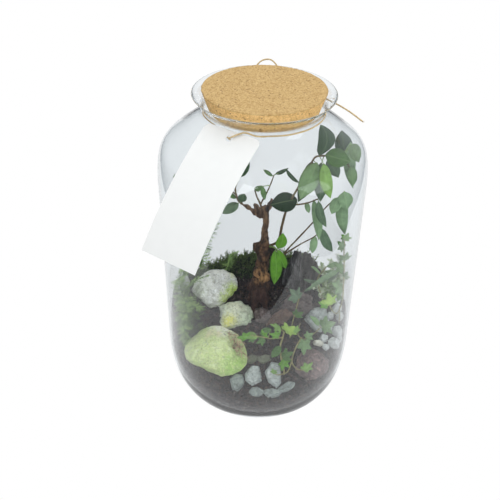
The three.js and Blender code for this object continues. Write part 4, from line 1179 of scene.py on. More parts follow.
def bark_finish():
    """Weathered bark: dark, grooved upwards, with a little grey on its ridges, and painted shade to the right
    of its cleft.
    """
    f = Finish("dark_bark", Roughness=0.9, Specular_IOR_Level=0.2)
    grooves = f.grain(5, 8, 0.7, f.stretched(1.6, 1.6, 0.28))
    ridges = [(0.34, (0.008, 0.007, 0.007)), (0.5, (0.06, 0.056, 0.057)), (0.66, (0.21, 0.205, 0.205))]
    base = f.ramp(grooves, *ridges)
    # Painted shade: the bark right of the cleft is darkened as if in shadow
    inner = f.step(f.axis(0), CLEFT_X * MM, (CLEFT_X + 3) * MM)
    f.colour(f.blend(inner, base, f.blend(1.0, base, (0.5, 0.44, 0.4), "MULTIPLY")))
    f.bumps((grooves, 0.9, 1.6), (f.grain(1.5, 6), 0.4, 0.5))
    return f.material


def wood_finish():
    """Living wood: brown skin, with a painted warm highlight on the burl, paler on its ridges high up, and
    darker in its creases and at its foot.
    """
    f = Finish("ficus_wood", Roughness=0.7, Specular_IOR_Level=0.3)
    grooves = f.grain(6, 8, 0.65, f.stretched(1.5, 1.5, 0.5))
    creases = [(0.34, (0.008, 0.004, 0.003)), (0.5, (0.05, 0.024, 0.014))]
    ridges = [(0.62, (0.15, 0.075, 0.035)), (0.78, (0.42, 0.26, 0.14))]
    base = f.ramp(grooves, *creases, *ridges)
    # Painted highlight: the ridges round the burl are lightened to a warm brown, as if lit
    burl_highlight = f.times(f.step(f.distance(BURL), 0.013, 0.004), f.step(grooves, 0.42, 0.6))
    base = f.blend(f.times(burl_highlight, 0.75), base, (0.5, 0.27, 0.11))
    height = f.axis(2)
    # The wood's ridges are paler above 150 mm
    paler_high_up = f.times(f.step(height, 0.15, 0.16), f.step(grooves, 0.4, 0.6))
    base = f.blend(f.times(paler_high_up, 0.5), base, (0.24, 0.15, 0.085))
    foot = f.times(f.step(height, 0.112, 0.1), 0.75)
    f.colour(f.blend(foot, base, (0.04, 0.015, 0.012)))
    f.bumps((grooves, 0.8, 1.3), (f.grain(1.2, 6), 0.5, 0.4))
    return f.material


# The trunk, its limbs and its roots: the points of each, and its radii along them
LIMBS = [
    (
        [(-1, 4, 66), (-1, 4, 92), (0, 5, 108), (1.5, 5, 119), (2.5, 5, 129), (4, 5, 141), (4, 5, 150),
         (3.6, 5, 160), (4.4, 5, 172), (3.4, 5, 182), (3, 5, 189)],
        (14, 11, 9, 8, 5.6, 6, 5.6, 3.6, 2.8, 3.4, 2.8),
    ),
    ([(4, 5, 183), (7, 5, 190), (9.5, 5, 196)], (2.6, 2.0, 1.6)),
    ([(1, 5, 183), (-3, 5, 187), (-6.5, 5, 191)], (2.6, 1.9, 1.5)),
    (
        [(3, 5, 180), (-3, 5, 180.5), (-10, 4, 187.5), (-15, 3.4, 190), (-19, 3, 193.5)],
        (3, 2.3, 1.9, 1.5, 1.1),
    ),
    ([(0, 4, 96), (-7, 2, 86), (-13, 1, 77)], (7, 5, 2.4)),
    ([(0, 4, 96), (8, 0, 83), (14, -4, 73)], (7, 5, 2.4)),
    ([(0, 4, 96), (-6, 10, 93), (-11, 15, 83)], (7, 5, 2.4)),
    ([(0, 4, 96), (7, 11, 93), (12, 16, 83)], (7, 5, 2.4)),
    ([(-2, -2, 100), (-4, -8, 88), (-7, -10, 78)], (5, 4, 1.8)),
    ([(2, -3, 104), (5, -8, 92), (8, -9, 80)], (4.5, 3.4, 1.6)),
]

# Swellings on the wood: middle and radius
KNOBS = [
    ((-1.6, 2, 147), 5.2), ((8, 2, 144), 5), ((3, 0, 139), 5.4), ((4.4, 1, 152), 4.2), ((1, 4, 184), 3.6),
    ((-1, -2, 122), 5.2), ((4, -1, 115), 5.6), ((-3, 0, 108), 5.0),
]

# The corners of the two slabs of bark, one on each side of the cleft
SLABS = [
    [(20, 10, 78), (41, 10, 76), (42, 20, 80), (21, 21, 84), (23, 12, 104), (25, 18, 106), (30, 12, 128),
     (32, 17, 132), (37.6, 13, 134), (38.4, 18, 133), (42, 10, 96), (41, 20, 98)],
    [(38, 9, 74), (61, 9, 72), (60, 20, 78), (39, 21, 80), (41, 10, 98), (41, 19, 100), (40.6, 12, 132),
     (41, 17, 134), (47, 12, 130), (48, 17, 131), (61, 10, 104), (60, 17, 108)],
]


class TERRARIUM_OT_wood(Operator):
    """Grows the ficus trunk with its burl and roots, and stands the bark behind it"""

    bl_idname = "terrarium.wood"
    bl_label = "Wood"

    def execute(self, context):
        limbs = [tapered(points, radii, len(points) * 4, 0.25, n) for n, (points, radii) in enumerate(LIMBS)]
        bm = tubes(limbs, 3)
        for at, r in KNOBS:
            made = bmesh.ops.create_icosphere(bm, subdivisions=2, radius=r)
            bmesh.ops.scale(bm, vec=(1, 0.9, 1.15), verts=made["verts"])
            bmesh.ops.translate(bm, vec=at, verts=made["verts"])
        bm = fused(bm, 0.7)
        roughen(bm, 1.5, 5, 1, 6, (0.8, 0.8, 2.2))
        piece(bm, "ficus_wood", wood_finish(), "ficus_trunk")

        bm = bmesh.new()
        for corners in SLABS:
            hull(corners, bm)
        bm = fused(bm, 0.8)
        roughen(bm, 2.6, 5, 4, 6, (0.7, 0.7, 3.4))
        piece(bm, "dark_bark", bark_finish(), "bark")
        return {"FINISHED"}


# The leaves

# The colours that leaves take, one of them with a painted reflection in it
TONES = {
    "deep": (0.03, 0.075, 0.027),
    "dark": (0.008, 0.03, 0.008),
    "mid": (0.085, 0.19, 0.045),
    "grey": (0.13, 0.2, 0.12),
    "pale": (0.2, 0.33, 0.14),
    "light": (0.24, 0.42, 0.1),
    "bright": (0.13, 0.33, 0.028),
    "lime": (0.42, 0.62, 0.13),
    # Painted reflection: a pale, greyed green for leaves under the glare on the glass
    "glare_hazed": (0.28, 0.42, 0.23),
    "twig": (0.14, 0.09, 0.045),
    "stalk": (0.22, 0.33, 0.09),
    "vine": (0.33, 0.29, 0.12),
}

# The way that leaves face, towards the light in front
FACING = Vector((0, -0.81, 0.59))
BLADE = 0.34

# How far apart, in degrees, ivy leaves may be turned about their own lengths
IVY_SPREAD = 84

# Half a blade's width by how far along it is, both as shares
OVAL = (
    (0, 0.03), (0.05, 0.15), (0.14, 0.34), (0.3, 0.465), (0.48, 0.5), (0.66, 0.44), (0.8, 0.31),
    (0.9, 0.16), (0.96, 0.07), (1, 0),
)
STRAP = ((0, 0.03), (0.06, 0.18), (0.2, 0.42), (0.4, 0.5), (0.6, 0.47), (0.78, 0.34), (0.9, 0.17), (1, 0))

# An ivy leaf's edge about its middle: the angle from the tip, and the reach
LOBES = (
    (0, 0.75), (27, 0.42), (34, 0.41), (62, 0.64), (82, 0.36), (92, 0.35), (116, 0.49), (146, 0.33),
    (166, 0.27), (180, 0.2),
)
MIDDLE = 0.25


def curve_at(keys, x):
    """The value at x of straight lines between the keys."""
    return float(np.interp(x, [k for k, _ in keys], [v for _, v in keys]))


class Foliage:
    """One plant's mesh under construction: its parts with a colour for each."""

    def __init__(self):
        self.bm = bmesh.new()
        self.colours = []

    def add(self, part, colour):
        """Takes over a part, in its colour."""
        self.colours += [(*colour, 1)] * absorb(self.bm, part)

    def mesh(self):
        """The finished mesh, with the colours in its attribute."""
        mesh = mesh_of(self.bm, "foliage")
        leaf = mesh.attributes.new("leaf", "FLOAT_COLOR", "POINT")
        leaf.data.foreach_set("color", np.array(self.colours, float).ravel())
        return mesh


def blade(spot, outline):
    """A leaf's blade. Spot says where it begins and ends, its width, and how it is turned, arched and
    swayed, and where its waves start."""
    start, tip, width, turn, arch, sway, phase = spot
    bm = bmesh.new()
    uv = bm.loops.layers.uv.new("UVMap")
    lobed = outline is LOBES
    columns, rows = (40, 5) if lobed else (8, 18)
    bmesh.ops.create_grid(bm, x_segments=columns, y_segments=rows, size=1)
    way = (tip - start).normalized()
    side = way.cross(FACING).normalized()
    side.rotate(Matrix.Rotation(math.radians(turn), 3, way))
    out = side.cross(way)
    flat = {}
    for v in bm.verts:
        a, b = v.co.x, (v.co.y + 1) / 2
        if lobed:
            reach = curve_at(LOBES, abs(a) * 180) * b
            s, t = reach * math.sin(math.pi * a), MIDDLE + reach * math.cos(math.pi * a)
            dome = 0.3 * width * (s * s + (t - MIDDLE) ** 2)
            droop = dome + 0.03 * width * math.sin(6 * math.pi * a + phase) * b
        else:
            s, t = a * curve_at(outline, b), b
            waves = 0.035 * width * math.sin(9 * b + phase) * abs(a)
            droop = 0.16 * width * abs(s) + waves + 0.1 * width * b**3
        flat[v] = (s + 0.5, t)
        bow = 4 * t * (1 - t)
        v.co = start.lerp(tip, t) + side * (s * width + sway * bow) + out * (arch * bow - droop)
    for face in bm.faces:
        for loop in face.loops:
            loop[uv].uv = flat[loop.vert]
    bmesh.ops.remove_doubles(bm, verts=bm.verts, dist=0.002)
    bmesh.ops.solidify(bm, geom=bm.faces[:], thickness=BLADE)
    bmesh.ops.recalc_face_normals(bm, faces=bm.faces)
    return bm


def plant(stems, leaves, outline, stem_tone, stalk_tone):
    """A leafy stem's mesh: its stems, and each leaf on a stalk from the nearest point of them."""
    foliage = Foliage()
    spots = [p for path, _ in stems for p in along(path, 60)]
    stalks = []
    for number, (start, tip, width, turn, arch, sway, tone, *other) in enumerate(leaves):
        start, tip = Vector(start), Vector(tip)
        if outline is LOBES:
            turn += IVY_SPREAD * (chance(number, width) - 0.5)
        spot = (start, tip, width, turn, arch, sway, number * 1.7)
        shade = Vector(TONES[tone]) * (0.92 + 0.16 * chance(number, 3))
        foliage.add(blade(spot, other[0] if other else outline), tuple(shade))
        foot = min(spots, key=lambda p: (p - start).length)
        end = start.lerp(tip, 0.04)
        bend = foot.lerp(end, 0.5) + (end - foot).length * 0.12 * FACING
        stalks.append(tapered([foot, bend, end], (0.42, 0.36, 0.3), 5))
    shoots = [tapered(path, radii, 6 * len(path), 0.2) for path, radii in stems]
    foliage.add(tubes(shoots, 2), TONES[stem_tone])
    foliage.add(tubes(stalks, 1), TONES[stalk_tone])
    return foliage.mesh()


# A plant's stems, each by its points and its radii, and its leaves, each by where it begins and ends,
# its width, turn, arch, sway and colour, and its outline where that isn't the plant's own
FICUS = {
    "ficus_right": (
        [([(7, 4, 147), (16, 4, 153), (19, 2, 172), (22, 0, 189), (29, 0, 208), (36, 4, 221), (43, 8, 235),
           (48, 10, 237), (60, 14, 235), (71, 18, 229)], (1.3, 1.1, 0.9, 0.7)),
         ([(24, 0, 195), (30, 0, 194.5), (40, 1, 196), (49, 0, 201)], (0.9, 0.5)),
         ([(71, 18, 229), (76, 12, 224)], (0.7, 0.4))],
        [((48, 10, 237), (47, 12, 265), 15, 8, 0, 6, "deep"),
         ((71, 19, 230), (67, 28, 253), 15, -10, 0, 0, "deep"),
         ((53, 11, 238), (73.5, 4, 236), 16, 14, 2, 0, "mid"),
         ((42, 8, 233), (31, -2, 198), 13, 14, 2.5, -2, "deep"),
         ((46, 6, 233), (33, -8, 205), 17, -8, 1.5, 0, "pale"),
         ((50, 13, 229), (52, 9, 192), 14, 12, 1, 0, "grey"),
         ((51, 1, 235), (58.5, -9, 207), 11, 6, 2, 1, "light"),
         ((56, 15, 232), (67, 17, 212), 11, 20, 0, 0, "grey"),
         ((74, 20, 246), (80, 10, 206), 11, 12, 0, 2, "glare_hazed"),
         ((74, 13, 248), (79, -4, 240), 11, 30, 1, 0, "pale"),
         ((76, 12, 227), (79, 6, 211), 10, 20, 0, 0, "pale"),
         ((31, 1, 199), (8, -5, 197), 18, 4, 3, 0, "dark"),
         ((45, 1.5, 199), (51, -12, 166), 9, 24, 1, -1.5, "glare_hazed"),
         ((49, -2, 200), (57, -13, 181), 8, -10, 1, 2, "grey"),
         ((39, 2, 196), (42, 0, 186), 5, 10, 0, 0, "glare_hazed")],
    ),
    "ficus_middle": (
        [([(14, 17, 84), (16, 14, 106), (22, 3, 139), (32, 0, 157), (45, -2, 177), (58, -1, 196),
           (66, -2, 204), (71, -1, 210)], (1, 0.9, 0.7, 0.5)),
         ([(22, 3, 139), (36, -4, 156), (47, -8, 167), (54, -7, 174)], (0.8, 0.45))],
        [((70, -2, 210), (74, -8, 196), 14, -6, 1, 0, "glare_hazed"),
         ((72, -2, 207), (75, -6, 168), 11, 14, 2, 3, "glare_hazed"),
         ((66, -3, 205), (60, -12, 194), 10, 10, 0, 0, "glare_hazed"),
         ((54, -7, 175), (65, -12, 154), 9, -8, 1, 2, "grey"),
         ((48, -8, 168), (46, -14, 153), 7, 8, 0, 0, "glare_hazed")],
    ),
    "ficus_low": (
        [([(8, 2, 148), (12, -4, 152), (15, -8, 152)], (1.1, 0.7))],
        [((13, -8, 151), (14, -13, 115), 11, -10, 3, -1, "bright"),
         ((16, -7, 151), (24, -6, 129), 9, 20, 2, 0, "bright"),
         ((16, -6, 152), (20, -5, 168), 10, 12, 2, 1, "bright")],
    ),
    "ficus_top": (
        [([(1, 5, 184), (-1, 5, 191), (-4, 5, 198), (-6, 5, 206)], (1.1, 0.6)),
         ([(-1, 5, 190), (4, 6, 202), (8, 6, 213), (10, 6, 220)], (0.9, 0.5))],
        [((9, 6, 219), (1, 4, 226), 3.4, 10, 0, 0, "mid"),
         ((11, 5.7, 221), (22, 2, 229), 3.6, 30, 1.5, 0, "deep"),
         ((20, 3, 227.5), (32, -1, 217), 3.8, 30, 1.5, 1, "deep"),
         ((-6, 4.6, 206), (0, 0, 213), 5, 20, 2, 0, "mid"),
         ((0, 0.6, 212.5), (3, -3, 200), 5, -10, 1, 0, "mid")],
    ),
    "ficus_left": (
        [([(-17, 3, 192), (-21, 4, 196), (-23, 7, 206), (-20, 9, 214)], (1.1, 0.6)),
         ([(-22, 5, 200), (-32, 10, 206), (-38, 14, 214)], (0.8, 0.5))],
        [((-20, 2, 193), (-34, -5, 187), 9, 8, 1.5, 0, "grey"),
         ((-18.5, 1.6, 194.5), (-15, 0, 204), 8, 10, 0, 0, "deep"),
         ((-22, 4.6, 197), (-29, 1, 204), 5, 30, 0, 0, "mid"),
         ((-19.5, 9, 215.5), (-12, 9, 233), 9, 10, 1, 0, "deep"),
         ((-31, 10, 206), (-43, 2, 199), 12, 0, 2, 0, "mid"),
         ((-34, 11, 209), (-38, 24, 222), 12, -14, 2, 0, "mid"),
         ((-39.5, 13.8, 214.4), (-54, 10, 216), 13, 6, 2, 0, "deep")],
    ),
}

IVY = {
    "ivy_front": (
        [([(26, -58, 38), (25, -57, 48), (22, -50, 59), (21, -44, 67), (23, -40, 75), (24, -38, 80)],
          (0.9, 0.9, 0.7)),
         ([(22.6, -51, 58), (31, -53, 60), (30.4, -58, 57), (27.4, -64, 54.6), (21, -67, 54.4),
           (17.6, -69, 56)], (0.7, 0.5)),
         ([(23, -40, 75), (13, -44, 77), (7, -48, 82), (0, -52, 87), (-7, -56, 92)], (0.6, 0.45))],
        [((25, -39, 81), (32, -45, 92), 15, 0, 0, 0, "lime"),
         ((21, -39, 84), (12, -41, 93), 8, 10, 0, 0, "light"),
         ((12, -41, 86), (2, -48, 86), 6.5, 10, 0, 1, "mid", STRAP),
         ((20, -42, 79), (11, -48, 86), 8, 10, 0, 0, "bright"),
         ((23, -51, 60), (31, -55, 71), 12, 0, 0, 0, "mid"),
         ((26, -53, 60), (21.4, -63, 56), 11, 0, 0, 0, "bright"),
         ((21, -44, 68), (13, -54, 63), 8, 20, 0, 0, "mid", STRAP),
         ((16.6, -69.2, 57.4), (13, -70, 64), 6, 0, 0, 0, "light"),
         ((6, -49, 82), (0, -57, 83), 9, 0, 0, 0, "mid"),
         ((0, -53, 87), (-11, -60, 94), 7, -10, 0, 1.5, "light", STRAP),
         ((-2, -54, 88), (-8, -60, 87), 7, 0, 0, 0, "mid"),
         ((-7, -57, 92), (-18, -64, 95), 8, 0, 0, 0, "bright"),
         ((7, -48, 82), (3, -49, 91), 7, 0, 0, 0, "bright")],
    ),
    "ivy_middle": (
        [([(39, -25, 56), (41, -31, 67), (40.5, -38, 72), (37, -43, 70.5), (33, -50, 64), (32, -56, 59),
           (36, -61.5, 57), (42, -64, 57.5)], (0.8, 0.7, 0.5)),
         ([(41, -38, 71), (37, -35, 76), (39, -29.5, 84)], (0.6, 0.4)),
         ([(41, -38, 71), (47, -40, 76), (53, -37, 80), (58, -34, 84)], (0.6, 0.4))],
        [((42, -64.6, 58), (50, -64, 67), 10, 0, 0, 0, "light"),
         ((43, -41, 74), (42, -52, 65), 13, 0, 0, 0, "pale"),
         ((44, -40, 75), (50, -42, 83), 9, 0, 0, 0, "pale"),
         ((37, -35, 77), (31, -37, 86), 9, 0, 0, 0, "light"),
         ((58, -34.6, 84), (68, -40, 95), 16, 0, 0, 0, "pale"),
         ((56, -35, 86), (47, -33, 96), 5, 10, 0, 1, "pale", STRAP)],
    ),
    "ivy_right": (
        [([(78.5, -9, 60), (78, -11, 76), (76, -16, 90), (77, -20, 106), (76, -20, 126), (75, -18, 144),
           (74, -14, 158), (74, -11, 168)], (0.8, 0.7, 0.5)),
         ([(76, -16, 89), (72, -24, 92), (67, -28, 100), (64, -30, 108)], (0.6, 0.45))],
        [((65, -30, 107), (62, -33, 122), 15, 0, 0, 0, "lime"),
         ((63, -31, 107), (54, -34, 113), 9, 0, 0, 0, "bright"),
         ((76, -21, 118), (66, -26, 131), 14, 0, 0, 0, "pale"),
         ((75, -20, 141), (66, -24, 151), 11, 0, 0, 0, "mid"),
         ((74, -18.8, 150), (76.5, -23, 160.5), 11, 0, 0, 0, "mid"),
         ((76, -21, 132), (76.5, -26, 142), 8, 0, 0, 0, "mid"),
         ((74, -14.6, 160), (68, -18, 170), 10, 0, 0, 0, "mid"),
         ((74, -11, 166), (76, -15, 176), 9, 0, 0, 0, "bright"),
         ((76, -20, 110), (67, -29, 117), 8, 20, 0, 0, "mid"),
         ((74, -14, 138), (45, -12, 110), 6.4, 0, 2, 1.5, "glare_hazed", STRAP),
         ((73, -14, 136), (62, -13, 118), 5, 20, 1, 0, "grey", STRAP)],
    ),
    "ivy_star": (
        [([(30, -29, 56), (31, -30, 78), (34, -27, 96), (37, -20, 106)], (0.7, 0.5))],
        [((37, -21, 106), (29, -24, 119), 15, 0, 0, 0, "grey"),
         ((33, -28, 92), (40, -33, 99), 10, 0, 0, 0, "mid")],
    ),
    "ivy_narrow": (
        [([(66, 6, 64), (62, 3, 86), (56, -3, 106), (54, -7, 120), (60, -9, 134)], (0.8, 0.6))],
        [((56, -4, 108), (42, -8, 104), 3.6, 0, 0, 1, "grey", STRAP),
         ((55, -6, 115), (41, -9, 120), 3.6, 20, 0, -1, "grey", STRAP),
         ((56, -8.4, 121), (66, -12, 125), 3.6, 0, 0, 1, "pale", STRAP),
         ((56.2, -8.6, 126.4), (47, -10, 136), 3.6, 20, 0, 1, "pale", STRAP),
         ((60.6, -9.4, 135.4), (69, -13, 144), 4.4, 0, 0, 1, "pale", STRAP),
         ((59.4, -9.6, 129), (69, -14, 132), 3.6, 20, 0, -1, "pale", STRAP)],
    ),
}


def leaf_finish(name, roughness, veins, gloss):
    """A leaf: its own colour, with a pale midrib and side veins, and a waxy skin."""
    f = Finish(name, Roughness=roughness, Specular_IOR_Level=gloss)
    own = f.node("Attribute", attribute_name="leaf").outputs["Color"]
    flat = f.node("SeparateXYZ", {0: f.uv})
    across, up = flat.outputs[0], flat.outputs[1]
    off = f.sums("ABSOLUTE", f.sums("SUBTRACT", across, 0.5))
    line = f.sums("SUBTRACT", up, f.times(off, 0.9))
    side = f.step(f.sums("PINGPONG", f.times(line, veins), 0.5), 0.07, 0.0)
    middle = f.step(off, 0.035, 0.012)
    drawn = f.sums("MAXIMUM", f.times(side, 0.2), f.times(middle, 0.6))
    seen = f.times(drawn, f.sums("GREATER_THAN", up, 0.001))
    lighter = f.blend(0.28, own, (0.55, 0.7, 0.35))
    mottled = f.blend(f.step(f.grain(4, 5), 0.35, 0.7), f.blend(0.35, own, (0.01, 0.02, 0.008)), own)
    f.colour(f.blend(f.times(seen, 0.7), mottled, lighter))
    f.bumps((drawn, 0.25, 0.15), (f.grain(2.5, 4), 0.15, 0.3))
    return f.material


class TERRARIUM_OT_ficus(Operator):
    """Grows the ficus's leafy shoots"""

    bl_idname = "terrarium.ficus"
    bl_label = "Ficus shoots"

    def execute(self, context):
        finish = leaf_finish("ficus_leaf", 0.42, 9.0, 0.1)
        for name, (stems, leaves) in FICUS.items():
            tone = "stalk" if name == "ficus_low" else "twig"
            shoot = plant(stems, leaves, OVAL, tone, "stalk")
            piece(shoot, name + "_shoot", finish, name)
        return {"FINISHED"}


# The stems of the pale plant with small leaves that stands behind the ivy, on the right, and the number
# of steps along each
LACE_STEMS = [
    [(62, 6, 78), (64, 4, 100), (60, 1, 122), (56, -2, 132)],
    [(63, 6, 78), (67, 3, 102), (68, 0, 124), (65, -3, 138)],
    [(64, 6, 78), (71, 4, 98), (76, 0, 118), (74, -4, 134)],
    [(65, 8, 77), (73, 8, 92), (78, 5, 106), (78, 0, 116)],
    [(62, 6, 78), (60, 2, 94), (55, -2, 106), (50, -5, 110)],
]
LACE_STEPS = 44


def leaflet():
    """A small pointed leaf one millimetre long, folded along its middle."""
    bm = bmesh.new()
    bmesh.ops.create_grid(bm, x_segments=2, y_segments=4, size=1)
    for v in bm.verts:
        a, b = v.co.x, (v.co.y + 1) / 2
        v.co = (0.5 * a * curve_at(OVAL, b), b, 0.12 * abs(a) - 0.2 * b * b)
    bmesh.ops.remove_doubles(bm, verts=bm.verts, dist=0.001)
    bmesh.ops.solidify(bm, geom=bm.faces[:], thickness=0.06)
    bmesh.ops.recalc_face_normals(bm, faces=bm.faces)
    return bm


def lace_places(draw):
    """Where the small leaves stand, all round their stems and more towards the light."""
    places = []
    for path in LACE_STEMS:
        spine = along(path, LACE_STEPS)
        for k in range(10, LACE_STEPS):
            tangent = (spine[k + 1] - spine[k]).normalized()
            for _ in range(2):
                any_way = Vector(draw.gauss(0, 1) for _ in range(3)).normalized()
                way = (any_way + 0.5 * tangent + 0.3 * FACING).normalized()
                right = way.cross(FACING + 0.5 * any_way.cross(way)).normalized()
                places.append(laid(spine[k], way, right, draw.uniform(2.6, 5)))
    return places


def stem_finish():
    """The green skin of fine stems."""
    f = Finish("lace_stem", Roughness=0.6, Specular_IOR_Level=0.25)
    f.colour(f.ramp(f.grain(3, 4), (0.35, (0.12, 0.2, 0.06)), (0.65, (0.24, 0.34, 0.12))))
    f.bumps((f.grain(1, 4), 0.2, 0.2))
    return f.material


def plain_finish(name, dark, light, grain, roughness=0.6):
    """A small-leaved finish: dark to light by each copy's tone, and mottled."""
    f = Finish(name, Roughness=roughness, Specular_IOR_Level=0.25)
    tone = f.node("Attribute", attribute_name="tone").outputs["Fac"]
    both = f.ramp(tone, (0.0, dark), (1.0, light))
    f.colour(f.blend(f.step(f.grain(grain, 4), 0.35, 0.65), f.blend(0.45, both, dark), both))
    f.bumps((f.grain(1, 4), 0.2, 0.2))
    return f.material


class TERRARIUM_OT_ivy(Operator):
    """Trails the ivy over the stones, and grows the plant with small pale leaves behind it"""

    bl_idname = "terrarium.ivy"
    bl_label = "Ivy"

    def execute(self, context):
        finish = leaf_finish("ivy_leaf", 0.5, 5.0, 0.18)
        for name, (stems, leaves) in IVY.items():
            trail = plant(stems, leaves, LOBES, "vine", "vine")
            piece(trail, name + "_trail", finish, name)

        draw = random.Random(14)
        places = lace_places(draw)
        pale = plain_finish("lace_leaf", (0.3, 0.42, 0.18), (0.9, 0.92, 0.76), 3)
        leaves = repeated(leaflet(), places, [draw.random() for _ in places])
        piece(leaves, "lace_leaves", pale, None)
        stems = tubes([tapered(path, (0.45, 0.35, 0.25), 30) for path in LACE_STEMS], 1)
        piece(stems, "lace_stems", stem_finish(), None)
        return {"FINISHED"}


# The ferns and the moss

# Each frond: its path, how far its branchlets reach, the way that they lie, and its seed. The last
# seven aren't in the solid model
FERNS = {
    "fern_tall": (
        [(-68, 17, 74), (-71, 15, 108), (-75, 10, 152), (-77, 4, 194), (-74, -4, 224)], 10, (0.25, 1, 0), 1,
    ),
    "fern_behind": ([(-62, 30, 84), (-56, 27, 118), (-47, 17, 148), (-39, 7, 170)], 7, (0.8, 0.2, -0.5), 2),
    "fern_front": ([(-69, -13, 70), (-69, -19, 98), (-67, -31, 110), (-63, -46, 104)], 10, (1, -0.1, 0.2), 3),
    "fern_low": ([(-70, -6, 74), (-73, -9, 100), (-74, -17, 122), (-69, -29, 128)], 8, (0.8, 0.3, 0.5), 4),
    "fern_sprig": ([(-31, 27, 92), (-31, 22, 112), (-27, 17, 125), (-21, 14, 131)], 8, (0.5, 0.3, 0.8), 5),
    "fern_fore": ([(-73, -4, 82), (-68, -9, 104), (-58, -12, 118), (-47, -10, 122)], 7, (0.4, -0.4, 0.8), 6),
    "fern_fore_low": (
        [(-75, -14, 74), (-70, -20, 92), (-62, -26, 100), (-52, -27, 96)], 8, (0.5, -0.4, 0.8), 7,
    ),
    "fern_edge": ([(-78, 4, 84), (-76, 3, 100), (-71, 0, 116), (-62, -2, 124)], 8, (0.5, -0.3, 0.8), 8),
    "fern_hang": ([(-72, -22, 92), (-70, -30, 90), (-68, -38, 78), (-67, -42, 64)], 8, (1, 0, 0.2), 9),
    "fern_lace": ([(61, 5, 78), (66, 2, 100), (72, -1, 125), (74, -2, 142)], 9, (0.9, -0.2, -0.3), 10),
    "fern_lace_low": ([(63, 8, 76), (71, 6, 92), (76, 4, 108), (78, 2, 120)], 8, (0.8, -0.3, -0.4), 11),
    "fern_wall": (
        [(-72, 20, 80), (-77, 16, 120), (-80, 10, 160), (-80.5, 2, 192), (-77, -3, 210)], 9, (0.2, 1, 0.1),
        12,
    ),
}

# The number of steps along a frond, and how light its stem is
FROND_STEPS = 60
STEM_TONE = 0.2


def needle(bm, foot, way, length, thick):
    """Adds one thin three-sided needle."""
    tip = thick * 0.2
    made = bmesh.ops.create_cone(bm, cap_ends=False, segments=3, radius1=thick, radius2=tip, depth=length)
    turn = Vector((0, 0, 1)).rotation_difference(way).to_matrix().to_4x4()
    place = Matrix.Translation(foot + way.normalized() * length / 2) @ turn
    bmesh.ops.transform(bm, matrix=place, verts=made["verts"])


def branchlet():
    """A flat branchlet one millimetre long, along +Y, with fine needles on both sides."""
    bm = bmesh.new()
    needle(bm, Vector((0, 0, 0)), Vector((0, 1, 0)), 1, 0.034)
    for k in range(7):
        t = mix(0.1, 0.95, k / 6)
        for side in (-1, 1):
            way = Vector((side * 0.8, 0.62, 0.5 * math.sin(k * 2.4 + side))).normalized()
            needle(bm, Vector((0, t, 0)), way, 0.46 * (1 - 0.6 * t), 0.04)
    return bm


def frond(path, reach, across, seed):
    """A frond's mesh: a stem with branchlets that go to either side by turns and get shorter to its tip."""
    draw = random.Random(seed)
    across = Vector(across)
    spine = along(path, FROND_STEPS)
    places = []
    tones = []
    for k in range(10, FROND_STEPS):
        t = k / FROND_STEPS
        side = -1 if k % 2 else 1
        tangent = (spine[k + 1] - spine[k - 1]).normalized()
        jitter = Vector(draw.uniform(-0.45, 0.45) for _ in range(3))
        way = (across * side + tangent * 0.7 + jitter).normalized()
        size = reach * mix(1.25, 0.5, t) * draw.uniform(0.6, 1.3)
        right = way.cross(tangent.cross(across).normalized()).normalized()
        places.append(laid(spine[k], way, right, size))
        tones.append(draw.uniform(0.05, 1))
    needles = repeated(branchlet(), places, tones)
    stem = tubes([tapered(path, (0.6, 0.45, 0.3), 40)], 1)
    values = [STEM_TONE] * len(stem.verts)
    values += np.repeat(tones, len(needles.vertices) // len(places)).tolist()
    stem.from_mesh(needles)
    bpy.data.meshes.remove(needles)
    mesh = mesh_of(stem, "frond")
    tone = mesh.attributes.get("tone") or mesh.attributes.new("tone", "FLOAT", "POINT")
    tone.data.foreach_set("value", values)
    return mesh


class TERRARIUM_OT_ferns(Operator):
    """Arches the asparagus fronds against the jar's wall"""

    bl_idname = "terrarium.ferns"
    bl_label = "Ferns"

    def execute(self, context):
        finish = plain_finish("fern_needles", (0.05, 0.12, 0.02), (0.5, 0.72, 0.22), 4)
        for name, made in FERNS.items():
            piece(frond(*made), name + "_frond", finish, name)
        return {"FINISHED"}


# Each cushion: its middle, half sizes, height, number of sprigs, their length, and its seed. The one at
# the edge isn't in the solid model
MOSS = {
    "moss_bank": ((-2, 41), (63, 25), 2.0, 3200, 7.4, 1),
    "moss_left": ((-66, -21), (11, 21), 6, 900, 9.0, 2),
    "moss_edge": ((-67, 24), (13, 24), 2, 500, 8.0, 3),
}

# How far a cushion reaches into the ground, and how many of its sprigs are tall ones
MOSS_DEPTH = 5
TALL_SHARE = 0.17


def sprig():
    """A moss sprig one millimetre high, with two rings of pointed leaves."""
    bm = bmesh.new()
    needle(bm, Vector((0, 0, 0)), Vector((0, 0, 1)), 1, 0.035)
    for k in range(8):
        a = math.tau * k * 0.382
        way = Vector((math.cos(a), math.sin(a), 0.9)).normalized()
        needle(bm, Vector((0, 0, 0.12 + 0.1 * k)), way, 0.32 - 0.022 * k, 0.038)
    return bm


def cushion(at, half, high, seed):
    """The body of a cushion: a low lump on the ground, cut off where the jar's wall is."""
    bed = bmesh.new()
    bmesh.ops.create_uvsphere(bed, u_segments=96, v_segments=32, radius=1)
    for v in bed.verts:
        edge = 1 + 0.07 * math.sin(5 * math.atan2(v.co.y, v.co.x) + seed)
        x, y = at[0] + v.co.x * edge * half[0], at[1] + v.co.y * edge * half[1]
        v.co = (x, y, ground(x, y) + v.co.z * (high if v.co.z > 0 else MOSS_DEPTH))
    roughen(bed, 1.2, 5, seed, 4)
    for v in bed.verts:
        out = math.hypot(v.co.x, v.co.y)
        most = room(v.co.z) - GAP
        if out > most:
            v.co.x, v.co.y = v.co.x * most / out, v.co.y * most / out
    return bed


